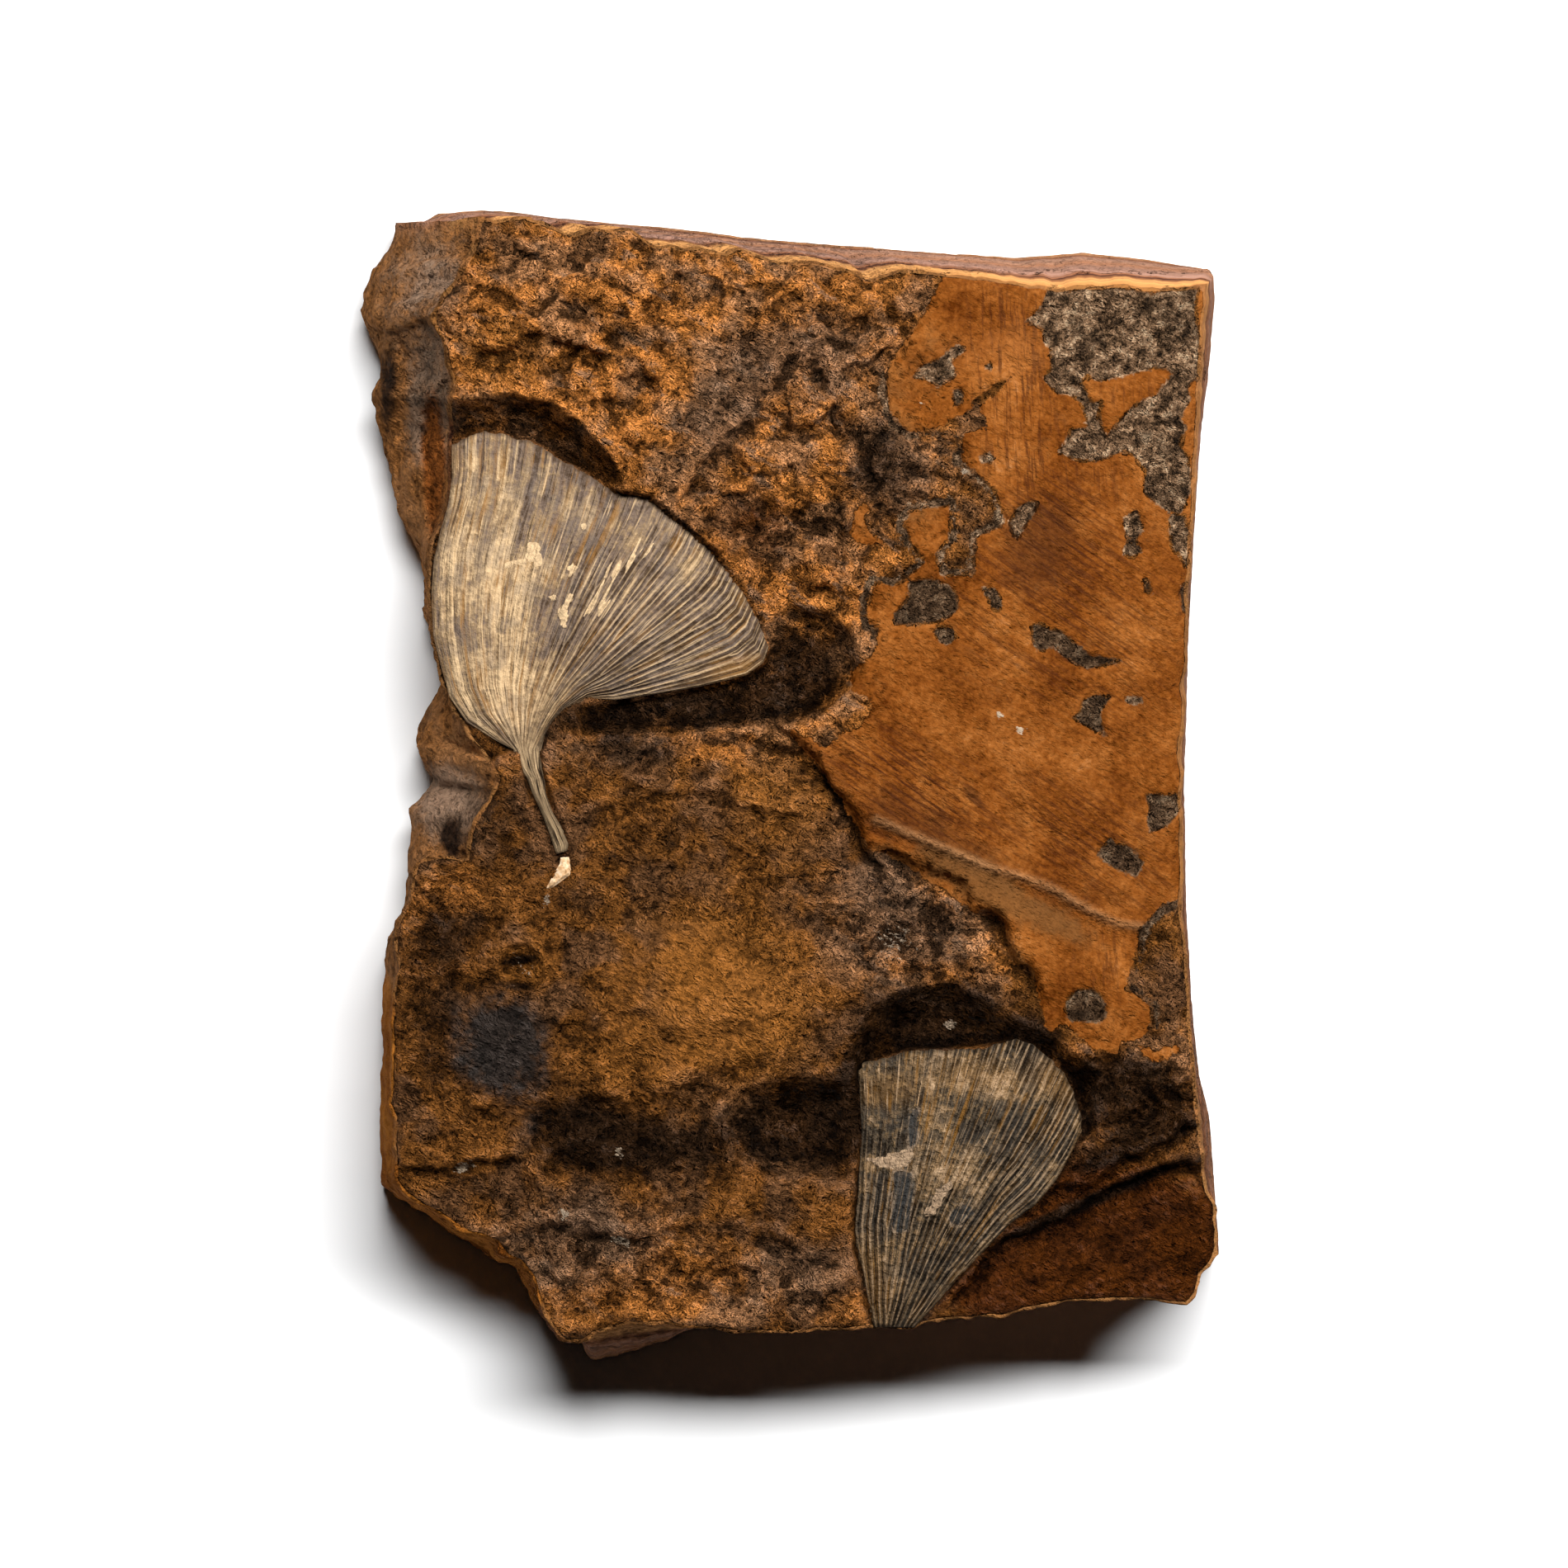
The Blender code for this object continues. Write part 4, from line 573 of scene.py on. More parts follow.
def chips(x, y, size, seed):
    """Flat broken faces of about this size, each tilted its own way, from about -0.6 to 0.6."""
    x, y = x / size, y / size
    i, j = np.floor(x), np.floor(y)
    nearest, height = np.full(np.shape(x), 9.0), np.zeros(np.shape(x))
    for di in (-1, 0, 1):
        for dj in (-1, 0, 1):
            draw = [scatter(i + di, j + dj, seed + k) - 0.5 for k in range(5)]
            ox, oy = x - i - di - 0.5 - draw[0], y - j - dj - 0.5 - draw[1]
            distance = ox**2 + oy**2
            height = np.where(distance < nearest, 1.4 * (ox * draw[2] + oy * draw[3]) + 0.5 * draw[4], height)
            nearest = np.minimum(nearest, distance)
    return height


def along_line(x, y, points):
    """Distance to a line of points, the side of it (+1 on the right hand), and how far past an end."""
    best = np.full(np.shape(x), np.inf)
    side, past = np.zeros(np.shape(x)), np.zeros(np.shape(x))
    for (ax, ay), (bx, by) in zip(points[:-1], points[1:]):
        dx, dy = bx - ax, by - ay
        share = ((x - ax) * dx + (y - ay) * dy) / (dx * dx + dy * dy)
        t = np.clip(share, 0.0, 1.0)
        distance = np.hypot(x - ax - t * dx, y - ay - t * dy)
        nearer = distance < best
        best = np.where(nearer, distance, best)
        side = np.where(nearer, np.sign((x - ax) * dy - (y - ay) * dx), side)
        past = np.where(nearer, np.abs(share - t) * np.hypot(dx, dy), past)
    return best, side, past


def depth_inside(x, y, outline):
    """Distance inside a closed outline, negative outside it."""
    closed = list(outline) + [outline[0]]
    distance = along_line(x, y, closed)[0]
    inside = np.zeros(np.shape(x), bool)
    for (ax, ay), (bx, by) in zip(closed[:-1], closed[1:]):
        if ay != by:
            inside ^= ((ay > y) != (by > y)) & (x < ax + (y - ay) * (bx - ax) / (by - ay))
    return np.where(inside, distance, -distance)


def deepest_inside(x, y, outlines, outside):
    """Distance inside the nearest of some outlines, and no less than outside."""
    depth = np.full(np.shape(x), outside)
    for outline in outlines:
        depth = np.maximum(depth, depth_inside(x, y, outline))
    return depth


def oval(x, y, cx, cy, length, width, turn):
    """Squared distance from an oval's middle, 1 at its edge."""
    c, s = np.cos(np.radians(turn)), np.sin(np.radians(turn))
    along, across = (x - cx) * c + (y - cy) * s, (y - cy) * c - (x - cx) * s
    return (along / length) ** 2 + (across / width) ** 2


def hollow_wall_shade(x, y):
    """Where the walls of the hollows are, from 0 to 1, fading on the hollow's floor: where the rock is
    painted darker as shade.
    """
    walls = np.zeros(np.shape(x))
    for outline, drop, wall, _ in HOLLOWS:
        depth = depth_inside(x, y, outline)
        here = smooth_step(0.5 + depth / 0.8) * (1 - smooth_step((depth - wall) / 3.0))
        walls = np.maximum(walls, min(1.0, drop / 4) * here)
    return walls


def seam(x, y):
    """A thin shadowed strip of rock round the leaves, from 0 to 1."""
    beside_stem = along_line(x, y, STEM_LINE)[0] - STEM_HALF_WIDTH
    strip = 0.4 - 0.4 * smooth_step(beside_stem / SEAM_WIDTH)
    for fan in (LARGE_LEAF, SMALL_LEAF):
        strip = np.maximum(strip, smooth_step(1.1 + depth_inside(x, y, fan_outline(fan)) / SEAM_WIDTH))
    return strip


def soft_spots(x, y, spots):
    """Soft spots that grow into each other, from 0 to 1, for staining, painted shade and other marked
    regions.
    """
    clear = np.ones(np.shape(x))
    for *spot, strength in spots:
        clear *= 1 - strength * np.exp(-(oval(x, y, *spot) ** 1.5))
    return 1 - clear


def fan_outline(fan):
    return fan["left"] + fan["outer"][1:] + fan["right"][::-1][1:]


def fan_level(fan, x, y):
    """Height of a fan's upper side: a tilted plane with a low dome, which rolls down at the left margin."""
    level, slope_x, slope_y = fan["tilt"]
    cx, cy, radius, rise = fan["crown"]
    dome = rise * np.exp(-((x - cx) ** 2 + (y - cy) ** 2) / radius**2)
    margin, side, _ = along_line(x, y, fan["left"])
    roll = fan["roll"] * (1 - smooth_step(np.where(side > 0, margin, 0) / ROLL_WIDTH))
    return level + slope_x * x + slope_y * y + dome - roll


def stem_level(x, y):
    level, slope_x, slope_y = STEM_TOP
    return level + slope_x * x + slope_y * y


def scarp(x, y, points, drop, reach, width, lip):
    distance, side, past = along_line(x, y, points)
    lower = smooth_step(0.5 + side * distance / width)
    form = lip * (1 - lower) * np.exp(-distance / LIP_REACH) - drop * lower * np.exp(-distance / reach)
    return form * np.exp(-((past / SCARP_END) ** 2))


def grit_depth(x, y):
    """Distance inside the nearest grey patch, negative outside."""
    return np.minimum(deepest_inside(x, y, GRIT, -50.0), -depth_inside(x, y, SKIN_FRAGMENTS[0]))


def skin_depth(x, y):
    """Distance inside the orange skin, less its grey patches."""
    depth = np.minimum(depth_inside(x, y, SKIN), -grit_depth(x, y))
    return np.maximum(depth, deepest_inside(x, y, SKIN_FRAGMENTS, -np.inf))


def pane_share(x, y):
    return smooth_step(0.5 + deepest_inside(x, y, PANES, -50.0) / 2.0)


def terraces(field, steps):
    """A field broken into small ledges."""
    scaled = field * steps
    tread = np.floor(scaled)
    return (tread + smooth_step((scaled - tread - 0.5) / 0.5)) / steps


def bent(place, x, y, seed):
    """A coordinate, bent aside unevenly."""
    return place + 1.4 * lumps(x, y, 6.0, seed) + 0.5 * lumps(x, y, 2.2, seed + 1)


def relief(x, y):
    """Height of the rock's face over its reference level, with its fine breakage."""
    wx, wy = bent(x, x, y, 31), bent(y, x, y, 33)
    skin = smooth_step(0.5 + skin_depth(x, y) / 1.2)
    z = 0.5 * lumps(x, y, 11.0, 1) - 0.4
    for *form, height in SWELLS:
        z += height * np.exp(-oval(x, y, *form))
    for form in SCARPS:
        z += scarp(wx, wy, *form)
    distance, side, past = along_line(x, y, CREST)
    fade = np.exp(-((past / SCARP_END) ** 2))
    z += CREST_HEIGHT * fade * np.exp(-distance / np.where(side > 0, 0.5, 2.2))
    z -= TROUGH_DEPTH * fade * (side > 0) * (1 - np.exp(-distance / 1.2)) * np.exp(-distance / 7.0)
    rough = (1 - 0.93 * skin) * (0.45 + 0.6 * soft_spots(x, y, HACKLY)) * (1 - 0.8 * pane_share(wx, wy))
    for outline, drop, wall, lip in HOLLOWS:
        depth = depth_inside(0.75 * x + 0.25 * wx, 0.75 * y + 0.25 * wy, outline)
        z -= drop * (1 - (1 - np.clip(depth / wall, 0, 1)) ** HOLLOW_CURVE)
        z += lip * np.exp(-((depth / 0.9) ** 2)) * (depth < 0)
        rough *= 1 - 0.6 * smooth_step(1 + depth / 1.5)
    # Scallops, ledges, two sizes of chips and grain
    z += rough * 1.3 * (scallops(wx, wy, 8.0, 2) - 0.4)
    z += rough * 1.5 * terraces(lumps(wx, 1.3 * wy, 7.0, 46) + 0.5 * lumps(wx, 1.3 * wy, 3.4, 47), 3.0)
    z += rough * 1.4 * chips(wx, 1.3 * wy, 4.2, 41)
    z += rough * 0.9 * chips(wx + 0.3 * wy, 1.3 * wy, 2.2, 43)
    z += rough * 0.25 * lumps(wx, wy, 1.3, 45)
    z += skin * 0.25 * lumps(x, y, 5.0, 48)
    z -= GRIT_DEPTH * smooth_step(0.5 + grit_depth(x, y) / 0.9) * smooth_step(0.5 + depth_inside(x, y, SKIN))
    for fan in (LARGE_LEAF, SMALL_LEAF, FLAKE):
        near = smooth_step(1.0 + depth_inside(x, y, fan_outline(fan)) / SHOULDER)
        if fan["beyond"]:
            near = np.maximum(near, smooth_step(1.0 + depth_inside(x, y, fan["beyond"]) / SHOULDER))
        z += near * (fan_level(fan, x, y) - PROUD - z)
    beside = smooth_step(1.0 - (along_line(x, y, STEM_LINE[1:])[0] - STEM_HALF_WIDTH) / SHOULDER)
    return z + beside * (stem_level(x, y) - PROUD - z)


def resampled(points, count):
    """count points evenly spaced along a line through points."""
    points = np.array(points, float)
    run = np.concatenate([[0.0], np.cumsum(np.hypot(*np.diff(points, axis=0).T))])
    at = np.linspace(0.0, run[-1], count)
    return np.stack([np.interp(at, run, points[:, 0]), np.interp(at, run, points[:, 1])], axis=1)


def spanned(left, outer, right, foot, hold=1):
    """A grid of points between four border lines, from the foot up to the outer one.

    The side lines' bow fades towards the middle, faster where hold is high, as with a fan's veins.
    """
    u = np.linspace(0, 1, len(foot))[None, :, None]
    v = np.linspace(0, 1, len(left))[:, None, None]
    left, right, foot, outer = left[:, None], right[:, None], foot[None], outer[None]
    chords = (1 - v) * foot + v * outer
    bow = (1 - u) ** hold * (left - chords[:, :1]) + u**hold * (right - chords[:, -1:])
    return chords + bow


def side_steps(flat):
    """Height of the ledges between the facets of the broken left side."""
    return sum(scarp(flat[:, 0], flat[:, 1], *form) for form in SIDE_SCARPS)


def jagged(points, size, amount, seed):
    """A line with small irregular nicks, which depend on the place alone."""
    x, y = points[:, 0], points[:, 1]
    nicks = [lumps(x, y, size, seed) + 0.5 * lumps(x, y, size / 2.3, seed + 1),
             lumps(x, y, size, seed + 2) + 0.5 * lumps(x, y, size / 2.3, seed + 3)]
    return points + amount * np.stack(nicks, axis=1)


def placed(points, z):
    """True places, in millimetres, of what is seen at points and lies at height z over the base."""
    grow = 1.0 + (FACE_HEIGHT - z) / SIGHT_DISTANCE
    x = points[..., 0] * grow - MIDDLE[0]
    y = points[..., 1] * grow - MIDDLE[1]
    return np.stack([x, y, z * np.ones_like(x)], axis=-1)


def around(grid):
    """The border of a grid, once round from the front left corner."""
    return np.concatenate([grid[0, :-1], grid[:-1, -1], grid[-1, :0:-1], grid[:0:-1, 0]])


def quads(*corners):
    return np.stack([corner.ravel() for corner in corners], axis=1).tolist()


def closed_faces(shape, rows_below):
    """Faces of a grid that looks up, of the rows of walls under its border and of the flat base."""
    index = np.arange(shape[0] * shape[1]).reshape(shape)
    rim = around(index)
    below = index.size + np.arange(rows_below * rim.size).reshape(rows_below, -1)
    loops = np.concatenate([rim[None], below])
    beside = np.roll(loops, -1, axis=1)
    faces = quads(index[:-1, :-1], index[:-1, 1:], index[1:, 1:], index[1:, :-1])
    faces += quads(loops[:-1], loops[1:], beside[1:], beside[:-1])
    faces.append(loops[-1][::-1].tolist())
    return faces


def new_piece(name, vertices, faces, attributes, material, node):
    """A smooth-shaded mesh with named attributes, which rides on the slab's body and stands for a node."""
    low, high = (np.array(corner) for corner in CAD_BOX)
    mesh = bpy.data.meshes.new(name)
    mesh.from_pydata(np.clip(vertices * MM, low, high), [], faces)
    for key, values in attributes.items():
        layer = mesh.attributes.new(key, "FLOAT", "POINT")
        layer.data.foreach_set("value", np.ascontiguousarray(values, np.float32))
    mesh.shade_smooth()
    mesh.materials.append(material)
    piece = bpy.data.objects.new(name, mesh)
    bpy.context.scene.collection.objects.link(piece)
    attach(piece, "root")
    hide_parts(node)


def build_film(name, points, level, attributes, material, node):
    """A closed film whose upper side is at these levels over the slab's face."""
    top = placed(points, FACE_HEIGHT + level)
    under = around(placed(points, FACE_HEIGHT + level - FILM_THICKNESS))
    vertices = np.concatenate([top.reshape(-1, 3), under])
    attributes = {key: np.concatenate([grid.ravel(), around(grid)]) for key, grid in attributes.items()}
    new_piece(name, vertices, closed_faces(level.shape, 1), attributes, material, node)


def eased_along(values):
    """Values of the border points, eased from one side of the slab into the next."""
    eased = sum(np.roll(values, k, axis=0) for k in range(-SIDE_BLEND, SIDE_BLEND + 1))
    return eased / (2 * SIDE_BLEND + 1)


def skirt_line():
    """Where the sides reach furthest out, once round from the front left corner."""
    lines = (SKIRT_FRONT, SKIRT_RIGHT, SKIRT_BACK, SKIRT_LEFT)
    front, right, back, left = (resampled(line, count + 1) for line, count in zip(lines, SIDE_COUNTS))
    return np.concatenate([jagged(front[:-1], *FRONT_NICKS, 21), right[:-1], back[:0:-1],
                           jagged(left[:0:-1], *LEFT_NICKS, 21)])


def side_chips(run, z, coarse):
    """How deep the sides are chipped. run is the way round the rim."""
    chip = coarse * (1.5 * scallops(run + 0.8 * z, 1.3 * z, 13.0, 5) + 0.7 * scallops(run, z, 5.0, 7))
    chip += (0.3 + coarse) * 0.22 * lumps(run, z, 1.7, 8)
    bed = np.floor((z + 1.5 * lumps(run, z, 40.0, 61)) / 1.3)
    return chip + 0.30 * scatter(bed, np.floor(run / 23.0 + scatter(bed, bed, 62)), 9)


def broken_sides(rim, edge, front, right, back, left):
    """Rows of the sides from the rim down: their true places, and where they are seen."""
    skirt = skirt_line()
    profiles = eased_along(np.repeat([WALL_FRONT, WALL_RIGHT, WALL_BACK, WALL_LEFT], SIDE_COUNTS, axis=0))
    run = np.cumsum(np.hypot(*(rim - np.roll(rim, 1, axis=0)).T))
    spread = np.roll(rim, -EDGE_SPAN, axis=0) - np.roll(rim, EDGE_SPAN, axis=0)
    outward = np.stack([spread[:, 1], -spread[:, 0]], axis=1) / np.hypot(*spread.T)[:, None]
    coarse = 0.5 * front + 0.08 * right + 0.08 * back
    coarse += left * (0.3 + 0.7 * smooth_step((rim[:, 1] + 22) / 6))
    true_places, seen_places = [], []
    for share in np.linspace(1, 0, WALL_ROWS + 1)[1:]:
        reach = np.array([np.interp(-share, -p[:, 0], p[:, 1]) for p in profiles])[:, None]
        z = edge * share
        chip = min(1.0, 5 * (1 - share)) * side_chips(run, z, coarse)
        flat = rim + reach * (skirt - rim) - outward * chip[:, None]
        true_places.append(placed(flat, z + left * min(1.0, 4 * share) * side_steps(flat)))
        seen_places.append(flat)
    return np.concatenate(true_places), np.concatenate(seen_places)


def over_surroundings(heights):
    """How far each place of the face lies over the mean of what is round it."""
    mean, reach = heights, 4
    span = 2 * reach + 1
    for axis in (0, 1):
        padded = np.concatenate([mean.take([0] * reach, axis), mean, mean.take([-1] * reach, axis)], axis)
        mean = sum(padded.take(range(k, k + mean.shape[axis]), axis) for k in range(span)) / span
    return np.clip(heights - mean, -1.5, 1.5)


def build_rock(material):
    rims = [jagged(resampled(line, count + 1), *RIM_NICKS, 11) for line, count in (
        (RIM_LEFT, FACE_ROWS), (RIM_BACK, FACE_COLUMNS), (RIM_RIGHT, FACE_ROWS), (RIM_FRONT, FACE_COLUMNS))]
    points = spanned(*rims)
    face_x, face_y = points[..., 0], points[..., 1]
    rim = around(points)
    inner = np.maximum(depth_inside(face_x, face_y, rim[::4]), 0)
    heights = FACE_HEIGHT + relief(face_x, face_y)
    heights -= RIM_ROUNDING * (1 - smooth_step(inner / (1.5 + lumps(face_x, face_y, 5.0, 51))))
    front, right, back, left = eased_along(np.repeat(np.eye(4), SIDE_COUNTS, axis=0)).T
    walls, seen_walls = broken_sides(rim, around(heights), front, right, back, left)
    vertices = np.concatenate([placed(points, heights).reshape(-1, 3), walls])

    def on_both(face, wall):
        return np.concatenate([np.broadcast_to(face, inner.shape).ravel(), np.broadcast_to(wall, len(walls))])

    x, y = np.concatenate([points.reshape(-1, 2), seen_walls]).T
    # Painted shade: the walls of the hollows and a thin seam round the leaves and stem are painted dark,
    # through the dark mask.
    shaded = np.maximum(0.42 * hollow_wall_shade(face_x, face_y), 0.50 * seam(face_x, face_y))
    attributes = {name: soft_spots(x, y, spots) for name, spots in SPOT_LISTS.items()}
    attributes["dark"] = np.maximum(attributes["dark"], on_both(shaded, 0.0))
    # Painted shade in the face's pits and painted light on its bumps: the colour follows how far each place
    # lies over what is round it.
    attributes["hollow"] = on_both(over_surroundings(heights), 0.0)
    attributes["skin"] = skin_depth(x, y)
    attributes["grit"] = np.minimum(grit_depth(x, y), depth_inside(x, y, SKIN) + 1.0)
    # Where the crest's pale line is painted as a highlight.
    attributes["crest"] = np.exp(-((along_line(x, y, CREST)[0] / 0.5) ** 2))
    attributes["pane"] = pane_share(x, y)
    attributes["side"] = on_both(smooth_step(1 - inner / 0.9), 1.0)
    attributes["left"] = on_both(0.0, np.tile(left, WALL_ROWS))
    attributes["back"] = on_both(0.0, np.tile(back, WALL_ROWS))
    faces = closed_faces(inner.shape, WALL_ROWS)
    new_piece("rock", vertices, faces, attributes, material, "slab")


def grown_veins(widths, runs, spacing, seed):
    """Veins over a fan's rows. They drift apart as the fan widens, and one forks where there is room.

    Gives each row's veins as (places across, as shares of the width; a tone for each).
    """
    draw = np.random.default_rng(seed)
    count = max(4, round(widths[0] / spacing[0]))
    places = (np.arange(count) + 0.5 + draw.uniform(-0.2, 0.2, count)) / count
    tones = draw.uniform(0, 1, count)
    rows = []
    for row, width in enumerate(widths):
        advance = abs(runs[row] - runs[row - 1]) if row else 0.0
        bounds = np.concatenate([[-places[0]], places, [2 - places[-1]]])
        middle = (bounds[:-2] + bounds[2:]) / 2
        places = places + (middle - places) * (1 - np.exp(-advance / 1.6))
        bounds = np.concatenate([[-places[0]], places, [2 - places[-1]]])
        room = (bounds[2:] - bounds[:-2]) / 2 * width
        wide = np.flatnonzero(room > spacing[row] * draw.uniform(1.25, 1.6, len(room)))
        for vein in sorted(draw.permutation(wide)[:6])[::-1]:
            apart = 0.10 * room[vein] / width
            places = np.insert(places, vein + 1, places[vein] + apart)
            places[vein] -= apart
            tones = np.insert(tones, vein + 1, np.clip(tones[vein] + draw.normal(0, 0.3), 0, 1))
        rows.append((places.copy(), tones.copy()))
    return rows


def vein_relief(rows, columns, widths, spacing):
    """Ridge height, from 0 in a groove to 1 on a vein, and the nearest vein's tone, over a grid."""
    u = np.linspace(0, 1, columns)
    ridge, tone = np.zeros((len(rows), columns)), np.zeros((len(rows), columns))
    for row, (places, tones) in enumerate(rows):
        bounds = np.concatenate([[-places[0]], places, [2 - places[-1]]])
        after = np.clip(np.searchsorted(bounds, u), 1, len(bounds) - 1)
        low, high = bounds[after - 1], bounds[after]
        gap = (high - low) * widths[row]
        share = (u - low) / (high - low)
        groove = 1 - (2 * np.minimum(share, 1 - share)) ** 1.7
        ridge[row] = 1 - (1 - groove) * smooth_step(gap / (0.9 * spacing[row]))
        nearest = np.clip(np.where(share < 0.5, after - 2, after - 1), 0, len(tones) - 1)
        tone[row] = tones[nearest]
    return ridge, tone


def fan_grid(fan):
    """Places of a leaf's grid from the end of its stem, or its foot, up to its outer margin."""
    columns, rows, stem_rows = fan["grid"]
    outer = jagged(resampled(fan["outer"], columns), *fan["nicks"], fan["seed"])
    foot = resampled([fan["left"][0], fan["right"][0]], columns)
    sides = [resampled(fan[side], rows + 1) for side in ("left", "right")]
    blade = spanned(sides[0], outer, sides[1], foot, fan["hold"])
    if not stem_rows:
        return blade
    left, right = (resampled(fan[side], stem_rows + 1)[:-1, None] for side in ("stem_left", "stem_right"))
    u = np.linspace(0, 1, columns)[None, :, None]
    return np.concatenate([left * (1 - u) + right * u, blade])


def crust_chips(fan, x, y, across, run):
    """Distance inside a leaf's chips of pale crust, frayed a little, negative outside."""
    seed = fan["seed"]
    inside = deepest_inside(x, y, fan["crust"], -9.0)
    for outline in fan["strips"]:
        strips = np.minimum(depth_inside(x, y, outline), 0.5) - 0.75
        inside = np.maximum(inside, strips + 2.2 * lumps(across / 0.6, run / 5.0, 1.0, seed + 10))
    return inside + 0.35 * lumps(x, y, 1.3, seed + 7) + 0.2 * lumps(x, y, 0.5, seed + 8)


def build_leaf(node, fan):
    points, seed, stem_rows = fan_grid(fan), fan["seed"], fan["grid"][2]
    x, y = points[..., 0], points[..., 1]
    columns = x.shape[1]
    widths = np.hypot(*np.moveaxis(np.diff(points, axis=1), 2, 0)).sum(axis=1)
    runs = np.concatenate([[0.0], np.cumsum(np.hypot(*np.diff(points[:, columns // 2], axis=0).T))])
    past_foot = runs - runs[stem_rows]
    at_foot, far, reach = fan["spacing"]
    pitch = at_foot + (far - at_foot) * smooth_step(past_foot / reach)
    ridge, tone = vein_relief(grown_veins(widths, runs, pitch, seed), columns, widths, pitch)

    u = np.broadcast_to(np.linspace(0, 1, columns), x.shape)
    run = np.broadcast_to(past_foot[:, None], x.shape)
    across = (u - 0.5) * SPREAD
    outline = np.concatenate([points[0], points[::4, -1], points[-1, ::-4], points[::-4, 0]])
    depth = depth_inside(x, y, outline)
    blade = smooth_step((run + 2.0) / 6.0) if stem_rows else np.ones(x.shape)
    crust = crust_chips(fan, x, y, across, run)
    windows = deepest_inside(x, y, fan["windows"], -9.0)
    weak = 1 - fan["fading"] * soft_spots(x, y, fan["worn"])

    base = blade * fan_level(fan, x, y) + (1 - blade) * stem_level(x, y)
    cords = lumps(4.5 * u, run / 7.0, 1.0, seed + 9)
    strands = lumps(across / 1.1, run / 9.0, 1.0, seed + 3) * (1.4 - weak)
    level = base + (1 - blade) * (STEM_ROUNDING * (1 - (2 * u - 1) ** 2) + 0.22 * cords)
    level += fan["ridges"] * (0.4 + 0.6 * blade) * (weak * (ridge - 0.5) + 0.6 * strands)
    level += fan["rough"] * (0.10 * lumps(x, y, 1.0, seed + 5) + 0.20 * lumps(x, y, 4.0, seed + 6))
    level -= 0.25 * (1 - smooth_step(depth / 0.7)) * blade
    level += 0.16 * smooth_step(0.5 + crust / 0.2)
    level -= 0.10 * smooth_step(0.5 + (windows + 0.5 * lumps(x, y, 1.6, seed + 11)) / 0.3)
    level = np.maximum(level, base - 0.22)
    attributes = {"pale": soft_spots(x, y, fan["pale"]), "rusty": soft_spots(x, y, fan["rusty"]), "neck": 1 - blade,
                  "ridge": 0.65 + weak * (ridge - 0.65), "tone": tone, "across": across, "run": run,
                  "crust": crust, "window": windows, "depth": depth}
    slot = node + "_film"
    build_film(node + "_blade", points, level, attributes, leaf_material(slot, fan), node)


def build_flake(material):
    """The cream chip at the end of the stem, broken and rough."""
    points, seed = fan_grid(FLAKE), FLAKE["seed"]
    x, y = points[..., 0], points[..., 1]
    depth = depth_inside(x, y, around(points))
    level = fan_level(FLAKE, x, y) + 0.35 * smooth_step(depth / 0.5) - 0.2
    level += 0.35 * terraces(lumps(x, y, 1.4, seed + 1), 2.0) + 0.12 * lumps(x, y, 0.5, seed + 2)
    build_film("stem_crust", points, level, {}, material, "stem_flake")


